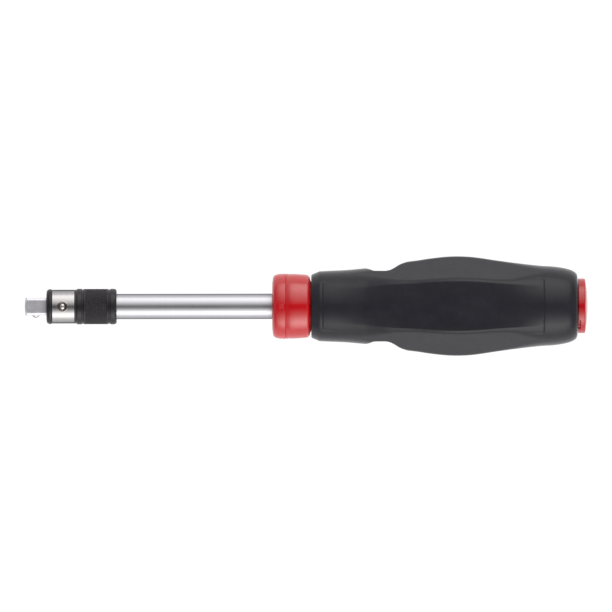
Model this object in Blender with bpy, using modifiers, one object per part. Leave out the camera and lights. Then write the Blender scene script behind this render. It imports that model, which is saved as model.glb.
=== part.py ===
# Two-in-one ratchet screwdriver with a quarter-inch square drive adaptor
# The tool lies along X: the square drive's front face is at the origin, the handle is towards +X.
# Two flats of the six-sided grip face up and down, and its finger notches face +Y and -Y.

import math

import bmesh
import bpy
from mathutils import Matrix, Vector

mm = 0.001
degree = math.pi / 180

# Clearances that every piece shares
fit_gap = 0.25 * mm
run_gap = 0.30 * mm
slip_gap = 0.05 * mm
overrun = 1.0 * mm

# Segments of turned pieces, from small to large
small_steps = 12
steps = 20
large_steps = 24
arc_points = 6
ball_segments = 16
ball_rings = 10
small_ball_segments = 12
small_ball_rings = 8
coil_steps = 8
clip_steps = 18
crease_angle = 32 * degree
weld_distance = 0.001 * mm
hexagon_angle = 60 * degree

# Square drive adaptor
square_size = 6.35 * mm
square_chamfer = 0.95 * mm
drive_length = 7.7 * mm
drive_face_radius = 1.7 * mm
drive_crown = 0.3 * mm
drive_nose_chamfer = 0.55 * mm
shank_flats = 6.30 * mm
shank_length = 16.7 * mm
shank_chamfer = 0.8 * mm

# Ball in the square drive, and its spring
drive_ball_radius = 1.5 * mm
drive_ball_x = 3.9 * mm
drive_ball_proud = 0.78 * mm
drive_ball_travel = 0.70 * mm
drive_ball_hole_gap = 0.12 * mm
drive_ball_lip = 0.15 * mm
drive_ball_lip_radius = 1.42 * mm
drive_spring_wire = 0.30 * mm
drive_spring_radius = 1.00 * mm
drive_spring_length = 2.4 * mm
drive_spring_turns = 2.5

# Chuck body with its band, barrel and nose ring
socket_gap = 0.30 * mm
ring_outer_radius = 6.23 * mm
ring_length = 2.0 * mm
ring_edge = 0.50 * mm
ring_wall = 1.1 * mm
ring_face = 0.45 * mm
band_radius = 6.0 * mm
band_length = 8.2 * mm
band_edge = 0.25 * mm
barrel_radius = 4.6 * mm
barrel_tail = 6.3 * mm
barrel_edge = 0.3 * mm
socket_depth_gap = 0.3 * mm
spigot_radius = 3.2 * mm
spigot_length = 5.1 * mm

# Ball in the band that locks the hexagon shank, and the plunger that holds it down
lock_ball_radius = 1.4 * mm
lock_ball_setback = 3.7 * mm
lock_ball_float = 0.10 * mm
lock_ball_travel = 0.45 * mm
lock_ball_hole_radius = 1.60 * mm
lock_inner_lip_radius = 1.33 * mm
lock_inner_lip = 0.17 * mm
lock_outer_lip_radius = 1.25 * mm
lock_outer_lip = 0.23 * mm
lock_mouth_depth = 0.32 * mm
lock_groove_gap = 0.35 * mm
plunger_radius = 0.50 * mm
plunger_hole_gap = 0.12 * mm
plunger_axis_radius = 5.2 * mm
plunger_ball_gap = 0.36 * mm
plunger_grip = 1.5 * mm

# Knurled sleeve with its spring, washer and circlip
sleeve_radius = 6.35 * mm
sleeve_overhang = 1.6 * mm
sleeve_lip = 0.45 * mm
sleeve_lip_drop = 0.37 * mm
sleeve_bead = 1.6 * mm
sleeve_groove = 0.75 * mm
sleeve_groove_depth = 0.28 * mm
sleeve_rear_bead = 1.4 * mm
sleeve_rear_round = 0.7 * mm
sleeve_rear_radius = 5.95 * mm
sleeve_bore_radius = 5.75 * mm
sleeve_step = 2.0 * mm
sleeve_spring_wire = 0.60 * mm
sleeve_spring_turns = 6.5
sleeve_spring_steps = 9
washer_thickness = 0.55 * mm
washer_setback = 2.4 * mm
washer_edge_gap = 0.25 * mm
circlip_thickness = 0.70 * mm
circlip_groove_side = 0.10 * mm
circlip_groove_depth = 0.40 * mm
circlip_height = 0.80 * mm
circlip_opening_angle = 50 * degree

# Cross pin through barrel and shaft
cross_pin_radius = 0.75 * mm
cross_pin_gap = 0.20 * mm
cross_pin_setback = 3.8 * mm

# Shaft
shaft_radius = 4.5 * mm
shaft_free_length = 56.65 * mm
shaft_shoulder_depth = 1.6 * mm
shaft_edge = 0.3 * mm
shaft_end_flats = 5.5 * mm
shaft_end_length = 8.1 * mm
shaft_end_chamfer = 0.3 * mm

# Selector ring, from its domed front face to its tapered rear
selector_radius = 11.55 * mm
selector_front_wall = 2.8 * mm
selector_crown = 4.6 * mm
selector_body_length = 13.45 * mm
selector_rear_radius = 11.18 * mm
selector_rear_chamfer = 0.75 * mm
selector_waist_share = 0.35
selector_hub_step = 0.25 * mm
selector_hub_length = 1.3 * mm
selector_skirt_wall = 0.65 * mm
selector_skirt_length = 9.3 * mm
selector_rib_width = 1.0 * mm
selector_rib_height = 0.25 * mm
selector_rib_setback = 3.7 * mm
selector_turn_angle = 12 * degree

# Fall of the selector ring's crown, as shares of the crown's length and the ring's radius
crown_shares = (
    (0.40, 0.994),
    (0.58, 0.985),
    (0.74, 0.967),
    (0.88, 0.932),
    (0.96, 0.885),
    (1.00, 0.800),
)

# Ratchet housing: a neck that carries the selector ring, and a cage round the gear
neck_wall = 1.0 * mm
neck_edge = 0.35 * mm
neck_groove_side = 0.35 * mm
neck_groove_depth = 0.35 * mm
neck_lip = 1.0 * mm
neck_lip_gap = 0.6 * mm
cage_setback = 0.45 * mm
cage_rim = 1.7 * mm
cage_front_wall = 2.1 * mm
cage_rear_wall = 3.2 * mm

# Bush in the neck
bush_gap = 0.25 * mm
bush_bore_gap = 0.25 * mm

# Ratchet gear and its circlip
gear_teeth = 24
gear_tip_radius = 5.5 * mm
gear_tooth_height = 1.25 * mm
gear_side_gap = 0.50 * mm
tooth_start_share = 0.42
tooth_end_share = 0.58
gear_length = 6.0 * mm
gear_clip_thickness = 0.60 * mm
gear_clip_groove_radius = 2.50 * mm
gear_clip_height = 1.70 * mm

# Two mirrored pawls: pivot, nose and tail
pawl_pivot_offset = 1.5 * mm
pawl_boss_radius = 1.15 * mm
pawl_pin_radius = 0.50 * mm
pawl_pin_gap = 0.12 * mm
pawl_nose_angle = 32 * degree
pawl_nose_dip = 0.42 * mm
pawl_nose_height = 1.40 * mm
pawl_nose_half_angle = 18 * degree
pawl_back_offset = 0.3 * mm
pawl_tail_angle = -42 * degree
pawl_tail_offset = 0.6 * mm
pawl_tail_round = 0.45 * mm
pawl_tail_sweep_angle = 170 * degree
pawl_waist_inset = 0.55 * mm
pawl_waist_share = 0.55
pawl_boss_inner_angles = (170 * degree, 235 * degree)
pawl_boss_outer_angles = (-30 * degree, 40 * degree)
pawl_side_gap = 0.30 * mm
pawl_swing_angle = 10 * degree
pawl_pin_seat = 1.5 * mm

# Pockets of the cage for the pawls, and windows for the cams of the selector ring
pocket_end_angle = 45 * degree
cam_overlap_angle = 2 * degree
cam_half_steps = 4
cam_gap = 0.12 * mm
cam_rear_gap = 0.35 * mm
window_margin_angle = 1.5 * degree
pocket_margin_angle = 3 * degree

# Leaf springs on the pawls
leaf_thickness = 0.25 * mm
leaf_gap = 0.18 * mm
leaf_root_angle = 53 * degree
leaf_root_rim = 0.75 * mm
leaf_side_gap = 0.6 * mm

# Detent ball of the selector ring, and its spring
detent_ball_radius = 0.65 * mm
detent_ball_hole_gap = 0.10 * mm
detent_ball_float = 0.05 * mm
detent_ball_travel = 0.30 * mm
detent_dimple_radius = 0.78 * mm
detent_spring_wire = 0.25 * mm
detent_spring_radius = 0.42 * mm
detent_spring_length = 5.0 * mm
detent_spring_turns = 4.0

# Thrust ball, cover and its screws
thrust_ball_radius = 1.5 * mm
cover_thickness = 3.3 * mm
cover_edge = 0.3 * mm
screw_angles = (62 * degree, 118 * degree, 270 * degree)
screw_rim = 1.5 * mm
screw_radius = 0.90 * mm
screw_head_radius = 1.20 * mm
screw_head_height = 1.00 * mm
screw_length = 7.0 * mm
screw_slot = 0.40 * mm
screw_gap = 0.15 * mm

# Radial pins that hold the cover in the core
housing_pin_radius = 0.90 * mm
housing_pin_depth = 1.5 * mm
housing_pin_gap = 0.12 * mm
housing_pin_sink = 0.15 * mm

# Handle core
core_front_wall = 0.95 * mm
core_web = 30.0 * mm
core_rear_setback = 0.2 * mm
store_radius = 7.5 * mm
store_wall = 1.4 * mm
core_belly_flats = 25.0 * mm
core_belly_round = 3.2 * mm
core_swell_round = 6.4 * mm
core_tail_radius = 11.2 * mm
core_tail_round = 7.84 * mm
core_neck_share = 0.345
core_swell_share = 0.438
core_belly_share = 0.530
core_tail_share = 0.802

# Grip
grip_front_gap = 0.45 * mm
grip_length = 94.6 * mm
grip_mouth_length = 2.2 * mm
grip_mouth_gap = 0.30 * mm
grip_front_radius = 11.15 * mm
grip_shoulder_radius = 12.42 * mm
grip_neck_radius = 12.75 * mm
grip_swell_radius = 13.42 * mm
grip_belly_radius = 17.66 * mm
grip_tail_radius = 14.05 * mm
grip_rear_radius = 12.10 * mm
grip_rear_step = 0.55 * mm
grip_corner_round = 3.5 * mm
swell_round_share = 0.75

# Places along the grip as shares of its length, each with its share of a rise or fall in radius
mouth_shares = ((0.000, 0.00), (0.010, 0.42), (0.024, 0.86), (0.034, 1.00))
neck_shares = ((0.115, 0.00), (0.165, 0.55))
swell_share = 0.206
rear_shares = (
    (0.868, 0.00),
    (0.898, 0.05),
    (0.928, 0.20),
    (0.958, 0.45),
    (0.973, 0.66),
    (0.984, 0.90),
)
edge_shares = ((0.9975, 0.39), (1.0, 1.0))

# The same for belly and tail, with a share of the corner radius
belly_shares = (
    (0.222, 0.07, 2.3),
    (0.240, 0.15, 1.8),
    (0.262, 0.25, 1.45),
    (0.284, 0.36, 1.25),
    (0.300, 0.44, 1.12),
    (0.316, 0.51, 1.05),
    (0.332, 0.58, 1.0),
    (0.348, 0.63, 1.0),
    (0.364, 0.68, 1.0),
    (0.402, 0.77, 1.0),
    (0.440, 0.85, 1.0),
    (0.490, 0.95, 1.0),
    (0.545, 1.00, 1.0),
)
tail_shares = (
    (0.567, 0.99, 1.0),
    (0.597, 0.945, 1.02),
    (0.627, 0.85, 1.05),
    (0.657, 0.74, 1.1),
    (0.687, 0.61, 1.18),
    (0.717, 0.50, 1.3),
    (0.748, 0.38, 1.5),
    (0.778, 0.27, 1.8),
    (0.808, 0.18, 2.2),
    (0.838, 0.09, 2.8),
)

# Finger notches in the two side corners
notch_half_width = 12.56 * mm
notch_setback = 19.5 * mm
notch_fall = 3.1 * mm
notch_floor = 4.2 * mm
notch_rise = 7.6 * mm
notch_end_half_width = 15.9 * mm
notch_fall_power = 1.5
notch_rise_power = 1.3

# End cap with its plug, and the pry notch in its rim
cap_lap = 0.85 * mm
cap_thickness = 3.35 * mm
cap_edge = 0.45 * mm
cap_crown = 0.55 * mm
cap_plug_length = 8.0 * mm
cap_plug_gap = 0.30 * mm
cap_plug_wall = 1.6 * mm
cap_bead_gap = 0.12 * mm
cap_bead_width = 1.0 * mm
pry_notch_angle = 136 * degree
pry_notch_width = 4.4 * mm
pry_notch_length = 0.70 * mm
pry_notch_depth = 1.1 * mm

# The cap's rear face, from its centre to its rim, as shares of the crown or edge and of the radius
cap_crown_shares = ((0.00, 0.00), (0.30, 0.55))
cap_edge_shares = ((0.00, 1.00), (0.35, 0.25), (1.00, 0.00))

# Radii of the ratchet, from the gear outwards
cage_bore_radius = gear_tip_radius + gear_side_gap
neck_radius = cage_bore_radius + neck_wall
pawl_pivot_radius = gear_tip_radius + pawl_pivot_offset
pawl_back_radius = pawl_pivot_radius + pawl_back_offset
pawl_tail_radius = pawl_pivot_radius + pawl_tail_offset
pawl_waist_radius = pawl_pivot_radius - pawl_waist_inset
cage_radius = pawl_pivot_radius + cage_rim
leaf_root_radius = cage_radius - leaf_root_rim
screw_circle_radius = cage_radius - screw_rim
detent_ball_axis_radius = (neck_radius + cage_radius) / 2
selector_bore_radius = neck_radius + run_gap
skirt_bore_radius = cage_radius + run_gap
selector_skirt_radius = skirt_bore_radius + selector_skirt_wall
selector_hub_radius = selector_skirt_radius + selector_hub_step

# Places along the tool that follow from the sizes above
ring_front_x = drive_length
band_front_x = ring_front_x + ring_length
band_rear_x = band_front_x + band_length
shank_rear_x = drive_length + shank_length
socket_rear_x = shank_rear_x + socket_depth_gap
barrel_rear_x = socket_rear_x + barrel_tail
socket_flats = shank_flats + 2 * socket_gap
lock_ball_x = band_front_x + lock_ball_setback
lock_ball_z = shank_flats / 2 + lock_ball_radius + lock_ball_float
lock_ball_low_z = lock_ball_z - lock_ball_travel
spigot_front_x = barrel_rear_x - spigot_length + fit_gap
spigot_bore_radius = spigot_radius + fit_gap
cross_pin_x = barrel_rear_x - cross_pin_setback
sleeve_front_x = band_rear_x + fit_gap
sleeve_rear_x = barrel_rear_x + sleeve_overhang
sleeve_step_x = sleeve_front_x + sleeve_step
sleeve_spring_radius = (barrel_radius + sleeve_bore_radius) / 2
washer_front_x = barrel_rear_x - washer_setback
circlip_front_x = washer_front_x + washer_thickness + circlip_groove_side
circlip_bore_radius = barrel_radius - circlip_groove_depth + circlip_groove_side
shaft_front_x = barrel_rear_x + fit_gap
selector_front_x = shaft_front_x + shaft_free_length
selector_rear_x = selector_front_x + selector_body_length
selector_hub_end_x = selector_rear_x + selector_hub_length
neck_front_x = selector_front_x + selector_front_wall + run_gap
cage_front_x = selector_hub_end_x + cage_setback
shaft_shoulder_x = cage_front_x + shaft_shoulder_depth
shaft_end_x = shaft_shoulder_x + shaft_end_length
selector_skirt_end_x = selector_hub_end_x + selector_skirt_length
selector_step_x = cage_front_x - fit_gap
selector_rib_x = neck_front_x + selector_rib_setback
gear_front_x = shaft_shoulder_x + run_gap
gear_rear_x = gear_front_x + gear_length
gear_clip_x = gear_rear_x + fit_gap
pawl_front_x = cage_front_x + cage_front_wall + pawl_side_gap
pawl_rear_x = gear_rear_x - pawl_side_gap
pocket_front_x = pawl_front_x - pawl_side_gap
pocket_rear_x = pawl_rear_x + pawl_side_gap
cage_rear_x = pocket_rear_x + cage_rear_wall
cover_front_x = cage_rear_x + fit_gap
cover_rear_x = cover_front_x + cover_thickness
thrust_ball_x = shaft_end_x + fit_gap + thrust_ball_radius
bush_front_x = neck_front_x + neck_lip + run_gap
bush_rear_x = shaft_shoulder_x - run_gap
detent_ball_x = selector_step_x + detent_ball_float + detent_ball_radius
grip_front_x = selector_rear_x + grip_front_gap
grip_rear_x = grip_front_x + grip_length
core_front_x = grip_front_x + grip_mouth_length + fit_gap
core_rear_x = grip_rear_x - core_rear_setback
core_front_radius = selector_skirt_radius + run_gap + core_front_wall
core_rear_radius = store_radius + store_wall
cap_radius = core_rear_radius + cap_lap
grip_rear_face_radius = cap_radius + grip_rear_step
core_seat_radius = cage_radius + fit_gap
core_floor_x = cover_rear_x + fit_gap
store_floor_x = core_floor_x + core_web
notch_start_x = grip_front_x + notch_setback
notch_floor_start_x = notch_start_x + notch_fall
notch_floor_end_x = notch_floor_start_x + notch_floor
notch_end_x = notch_floor_end_x + notch_rise
cap_front_x = grip_rear_x + fit_gap
cap_rear_x = cap_front_x + cap_thickness
cap_plug_radius = store_radius - cap_plug_gap
cap_plug_front_x = cap_front_x - cap_plug_length

# The palette of the tool
chrome = ((0.72, 0.71, 0.70), 1.0, 0.12)
bright_steel = ((0.62, 0.62, 0.63), 1.0, 0.25)
satin_steel = ((0.42, 0.42, 0.44), 1.0, 0.38)
black_oxide = ((0.02, 0.02, 0.022), 0.6, 0.35)
spring_steel = ((0.35, 0.35, 0.36), 1.0, 0.30)
bronze = ((0.55, 0.38, 0.18), 1.0, 0.40)
red_plastic = ((0.52, 0.01, 0.015), 0.0, 0.22)
black_rubber = ((0.028, 0.028, 0.030), 0.0, 0.55)
grey_nylon = ((0.10, 0.10, 0.11), 0.0, 0.50)
zinc = ((0.30, 0.30, 0.31), 1.0, 0.45)


def clear_scene():
    for obj in list(bpy.data.objects):
        bpy.data.objects.remove(obj, do_unlink=True)


def new_collection(name):
    collection = bpy.data.collections.new(name)
    bpy.context.scene.collection.children.link(collection)
    return collection


clear_scene()
tool = new_collection("two_in_one_screwdriver")
cutters = new_collection("cutters")

# Local Z of a turned or extruded piece is laid along the named axis of the tool
lay_along = {
    "x": Matrix.Rotation(math.pi / 2, 4, "Y"),
    "y": Matrix.Rotation(-math.pi / 2, 4, "X"),
    "z": Matrix.Identity(4),
}


def polar(radius, angle):
    """A point (y, z) of a cross-section, its angle counted from +Y towards +Z."""
    return radius * math.cos(angle), radius * math.sin(angle)


def arc(radius, start, end, count, centre=(0.0, 0.0)):
    """Points of an arc in a cross-section, with both ends."""
    points = []
    for i in range(count + 1):
        y, z = polar(radius, start + (end - start) * i / count)
        points.append((centre[0] + y, centre[1] + z))
    return points


def hexagon(flats):
    """A hexagon with two of its flats square to Z."""
    return [polar(corner_reach(flats), k * hexagon_angle) for k in range(6)]


def corner_reach(flats):
    """From the axis to a corner of a hexagon, given its size across flats."""
    return flats / 2 / math.cos(hexagon_angle / 2)


def mirrored(outline):
    return [(-y, z) for y, z in reversed(outline)]


def place(obj, collection, at=(0.0, 0.0, 0.0), along="z"):
    obj.matrix_world = Matrix.Translation(Vector(at)) @ lay_along[along]
    for other in list(obj.users_collection):
        other.objects.unlink(obj)
    collection.objects.link(obj)
    return obj


def finish(obj, look):
    """Gives a piece its own material and smooth shading with crisp edges."""
    colour, metallic, roughness = look
    material = bpy.data.materials.new(obj.name)
    material.use_nodes = True
    shader = material.node_tree.nodes["Principled BSDF"]
    shader.inputs["Base Color"].default_value = (*colour, 1.0)
    shader.inputs["Metallic"].default_value = metallic
    shader.inputs["Roughness"].default_value = roughness
    obj.data.materials.append(material)
    if obj.type == "MESH":
        obj.data.shade_smooth()
        obj.data.set_sharp_from_angle(angle=crease_angle)
    return obj


def turned(name, profile, count, collection=None, at=(0.0, 0.0, 0.0), along="x"):
    """Turns a profile of (place, radius) points about the named axis.

    The points run down the outer side, from the far end to the near end, then back along a bore.
    """
    mesh = bpy.data.meshes.new(name)
    points = [(radius, 0.0, place_) for place_, radius in profile]
    closed = profile[0][1] > 0 and profile[-1][1] > 0
    edges = [(i, i + 1) for i in range(len(points) - 1)]
    if closed:
        edges.append((len(points) - 1, 0))
    mesh.from_pydata(points, edges, [])
    obj = bpy.data.objects.new(name, mesh)
    place(obj, collection or tool, at, along)
    screw = obj.modifiers.new("turn", "SCREW")
    screw.axis = "Z"
    screw.steps = count
    screw.render_steps = count
    screw.use_merge_vertices = True
    screw.merge_threshold = weld_distance
    screw.use_smooth_shade = True
    return obj


def extruded(name, outlines, start, end, collection=None, at=(0.0, 0.0), along="x"):
    """Extrudes outlines of (y, z) points, holes among them, from one place to another along X."""
    curve = bpy.data.curves.new(name, "CURVE")
    curve.dimensions = "2D"
    curve.fill_mode = "BOTH"
    curve.extrude = (end - start) / 2
    for outline in outlines:
        spline = curve.splines.new("POLY")
        spline.points.add(len(outline) - 1)
        spline.use_cyclic_u = True
        for point, (y, z) in zip(spline.points, outline):
            point.co = (-z, y, 0.0, 1.0)
    obj = bpy.data.objects.new(name + "_outline", curve)
    place(obj, cutters, ((start + end) / 2, at[0], at[1]), along)
    return as_mesh(obj, name, collection or tool)


def as_mesh(obj, name, collection):
    """Makes a curve object a welded mesh object in the same place."""
    bpy.context.view_layer.update()
    evaluated = obj.evaluated_get(bpy.context.evaluated_depsgraph_get())
    mesh = bpy.data.meshes.new_from_object(evaluated)
    work = bmesh.new()
    work.from_mesh(mesh)
    bmesh.ops.remove_doubles(work, verts=work.verts, dist=weld_distance)
    bmesh.ops.recalc_face_normals(work, faces=work.faces)
    work.to_mesh(mesh)
    work.free()
    solid = bpy.data.objects.new(name, mesh)
    collection.objects.link(solid)
    solid.matrix_world = obj.matrix_world.copy()
    bpy.data.objects.remove(obj, do_unlink=True)
    return solid


def ball(name, radius, centre, segments=ball_segments, rings=ball_rings, collection=None):
    mesh = bpy.data.meshes.new(name)
    work = bmesh.new()
    bmesh.ops.create_uvsphere(work, u_segments=segments, v_segments=rings, radius=radius)
    work.to_mesh(mesh)
    work.free()
    obj = bpy.data.objects.new(name, mesh)
    return place(obj, collection or tool, centre)


def rod(name, radius, start, end, count=small_steps, collection=None, at=(0.0, 0.0, 0.0), along="x"):
    """A plain cylinder from start to end along the named axis."""
    profile = [(end, 0.0), (end, radius), (start, radius), (start, 0.0)]
    return turned(name, profile, count, collection, at, along)


def coil(name, radius, wire, start, end, turns, at=(0.0, 0.0, 0.0), along="x", per_turn=coil_steps):
    """A compression spring as one unbroken tube, with its clear gap between turns printed."""
    count = round(turns * per_turn)
    low = start + wire / 2
    high = end - wire / 2
    curve = bpy.data.curves.new(name, "CURVE")
    curve.dimensions = "3D"
    curve.bevel_depth = wire / 2
    curve.bevel_resolution = 1
    curve.use_fill_caps = True
    spline = curve.splines.new("POLY")
    spline.points.add(count)
    for i, point in enumerate(spline.points):
        angle = 2 * math.pi * i / per_turn
        x, y = polar(radius, angle)
        point.co = (x, y, low + (high - low) * i / count, 1.0)
    clear = (high - low) / turns - wire
    print(f"{name}: least gap between turns {clear / mm:.2f} mm")
    return place(bpy.data.objects.new(name, curve), tool, at, along)


def cut(obj, cutter, operation="DIFFERENCE"):
    """Cuts obj with another solid, which is kept out of the model."""
    cutter.hide_render = True
    cutter.display_type = "WIRE"
    modifier = obj.modifiers.new(cutter.name, "BOOLEAN")
    modifier.operation = operation
    modifier.object = cutter
    return obj


def sector(inner, outer, start, end, count=arc_points):
    """The outline of a part of a ring between two angles."""
    return arc(inner, start, end, count) + arc(outer, end, start, count)


def loft(name, sections, look, capped):
    """Joins rings of points, one after the other; it closes on itself unless its ends are capped."""
    mesh = bpy.data.meshes.new(name)
    work = bmesh.new()
    rings = [[work.verts.new(point) for point in section] for section in sections]
    pairs = list(zip(rings, rings[1:]))
    if not capped:
        pairs.append((rings[-1], rings[0]))
    for one, other in pairs:
        for i in range(len(one)):
            j = (i + 1) % len(one)
            work.faces.new((one[i], one[j], other[j], other[i]))
    if capped:
        work.faces.new(reversed(rings[0]))
        work.faces.new(rings[-1])
    work.normal_update()
    bmesh.ops.recalc_face_normals(work, faces=work.faces)
    work.to_mesh(mesh)
    work.free()
    obj = place(bpy.data.objects.new(name, mesh), tool)
    return finish(obj, look)


# Square drive adaptor and its ball


def build_drive_adaptor():
    half = square_size / 2
    inset = half - square_chamfer
    square = [(half, -inset), (half, inset), (inset, half), (-inset, half)]
    square += [(-y, -z) for y, z in square]
    corner_radius = math.hypot(half, inset)
    adaptor = extruded("drive_adaptor", [square], 0.0, drive_length + ring_face)
    flank = drive_crown + drive_nose_chamfer
    nose = [
        (drive_length + ring_face + overrun, 0.0),
        (drive_length + ring_face + overrun, corner_radius + overrun),
        (flank, corner_radius + slip_gap),
        (drive_crown, half),
        (0.0, drive_face_radius),
        (0.0, 0.0),
    ]
    cut(adaptor, turned("nose_form", nose, steps, cutters), "INTERSECT")
    shank = extruded("shank_form", [hexagon(shank_flats)], drive_length, shank_rear_x, cutters)
    shank_corner = corner_reach(shank_flats)
    tail = [
        (shank_rear_x, 0.0),
        (shank_rear_x, shank_corner - shank_chamfer),
        (shank_rear_x - shank_chamfer, shank_corner + slip_gap),
        (drive_length - overrun, shank_corner + slip_gap),
        (drive_length - overrun, 0.0),
    ]
    cut(shank, turned("shank_tail_form", tail, steps, cutters), "INTERSECT")
    cut(adaptor, shank, "UNION")
    groove = ring_cutter("ball_groove", lock_ball_low_z, lock_ball_radius + lock_groove_gap, lock_ball_x)
    cut(adaptor, groove)
    ball_y = drive_ball_y()
    bore_radius = drive_ball_radius + drive_ball_hole_gap
    hole = [
        (ball_y + drive_ball_travel + drive_spring_length + drive_ball_radius, 0.0),
        (ball_y + drive_ball_travel + drive_spring_length + drive_ball_radius, bore_radius),
        (-half + drive_ball_lip, bore_radius),
        (-half + drive_ball_lip, drive_ball_lip_radius),
        (-half - overrun, drive_ball_lip_radius),
        (-half - overrun, 0.0),
    ]
    cut(adaptor, turned("drive_ball_hole", hole, steps, cutters, (drive_ball_x, 0.0, 0.0), "y"))
    finish(adaptor, bright_steel)


def drive_ball_y():
    return -square_size / 2 + drive_ball_radius - drive_ball_proud


def ring_cutter(name, radius, tube, at_x):
    """A torus round the tool's axis that cuts a groove."""
    bpy.ops.mesh.primitive_torus_add(
        major_radius=radius, minor_radius=tube, major_segments=steps, minor_segments=small_steps
    )
    obj = bpy.context.active_object
    obj.name = name
    return place(obj, cutters, (at_x, 0.0, 0.0), "x")


def build_drive_ball():
    finish(ball("drive_ball", drive_ball_radius, (drive_ball_x, drive_ball_y(), 0.0)), bright_steel)
    start = drive_ball_y() + drive_ball_radius + slip_gap
    spring = coil(
        "drive_ball_spring",
        drive_spring_radius,
        drive_spring_wire,
        start,
        start + drive_spring_length,
        drive_spring_turns,
        at=(drive_ball_x, 0.0, 0.0),
        along="y",
    )
    finish(spring, spring_steel)


# Chuck: nose ring, body, lock ball, sleeve and what holds them


def build_nose_ring():
    rear = band_front_x - fit_gap
    bore = ring_outer_radius - ring_wall
    mouth = corner_reach(socket_flats) + slip_gap
    round_share = 1 - math.sqrt(0.5)
    profile = [
        (rear, bore),
        (rear, ring_outer_radius - ring_edge / 2),
        (rear - ring_edge / 2, ring_outer_radius),
        (ring_front_x + ring_edge, ring_outer_radius),
        (ring_front_x + ring_edge * round_share, ring_outer_radius - ring_edge * round_share),
        (ring_front_x, ring_outer_radius - ring_edge),
        (ring_front_x, mouth),
        (ring_front_x + ring_face, mouth),
        (ring_front_x + ring_face, bore),
    ]
    finish(turned("nose_ring", profile, large_steps), black_oxide)


def build_chuck_body():
    spigot = ring_outer_radius - ring_wall - fit_gap
    front = ring_front_x + ring_face + fit_gap
    groove_x = circlip_front_x - circlip_groove_side
    groove_end = circlip_front_x + circlip_thickness + circlip_groove_side
    groove_floor = barrel_radius - circlip_groove_depth
    profile = [
        (barrel_rear_x, spigot_bore_radius),
        (barrel_rear_x, barrel_radius - barrel_edge),
        (barrel_rear_x - barrel_edge, barrel_radius),
        (groove_end, barrel_radius),
        (groove_end, groove_floor),
        (groove_x, groove_floor),
        (groove_x, barrel_radius),
        (band_rear_x, barrel_radius),
        (band_rear_x, band_radius - band_edge),
        (band_rear_x - band_edge, band_radius),
        (band_front_x + band_edge, band_radius),
        (band_front_x, band_radius - band_edge),
        (band_front_x, spigot),
        (front, spigot),
        (front, 0.0),
        (spigot_front_x - fit_gap, 0.0),
        (spigot_front_x - fit_gap, spigot_bore_radius),
    ]
    body = turned("chuck_body", reaching_axis(profile), large_steps)
    socket = extruded(
        "socket_form", [hexagon(socket_flats)], ring_front_x - overrun, socket_rear_x, cutters
    )
    cut(body, socket)
    hole = [
        (band_radius + overrun, 0.0),
        (band_radius + overrun, lock_ball_hole_radius),
        (band_radius, lock_ball_hole_radius),
        (band_radius - lock_mouth_depth, lock_outer_lip_radius),
        (band_radius - lock_mouth_depth - lock_outer_lip, lock_outer_lip_radius),
        (band_radius - lock_mouth_depth - lock_outer_lip, lock_ball_hole_radius),
        (socket_flats / 2 + lock_inner_lip, lock_ball_hole_radius),
        (socket_flats / 2 + lock_inner_lip, lock_inner_lip_radius),
        (socket_flats / 2 - overrun, lock_inner_lip_radius),
        (socket_flats / 2 - overrun, 0.0),
    ]
    cut(body, turned("lock_ball_hole", hole, steps, cutters, (lock_ball_x, 0.0, 0.0), "z"))
    plunger_hole = rod(
        "plunger_hole",
        plunger_radius + plunger_hole_gap,
        lock_ball_x,
        band_rear_x + overrun,
        collection=cutters,
        at=(0.0, 0.0, plunger_axis_radius),
    )
    cut(body, plunger_hole)
    cut(body, cross_hole("barrel_pin_hole"))
    finish(body, chrome)


def reaching_axis(profile):
    """Starts a profile that dips to the axis at that dip, so that it runs from axis to axis."""
    first = next(i for i, point in enumerate(profile) if point[1] == 0.0)
    return profile[first + 1 :] + profile[: first + 1]


def cross_hole(name):
    """The hole for the cross pin, along Y."""
    radius = cross_pin_radius + cross_pin_gap
    half = barrel_radius + overrun
    return rod(name, radius, -half, half, collection=cutters, at=(cross_pin_x, 0.0, 0.0), along="y")


def build_chuck_pin():
    half = math.sqrt(barrel_radius**2 - cross_pin_radius**2) - slip_gap
    pin = rod("chuck_pin", cross_pin_radius, -half, half, at=(cross_pin_x, 0.0, 0.0), along="y")
    finish(pin, satin_steel)


def build_lock():
    centre = (lock_ball_x, 0.0, lock_ball_z)
    finish(ball("lock_ball", lock_ball_radius, centre), bright_steel)
    rise = plunger_axis_radius - lock_ball_z
    ball_reach = math.sqrt(lock_ball_radius**2 - rise**2)
    tip = lock_ball_x + ball_reach + plunger_ball_gap
    plunger = rod(
        "lock_plunger",
        plunger_radius,
        tip,
        sleeve_front_x + plunger_grip,
        at=(0.0, 0.0, plunger_axis_radius),
    )
    finish(plunger, satin_steel)


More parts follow.
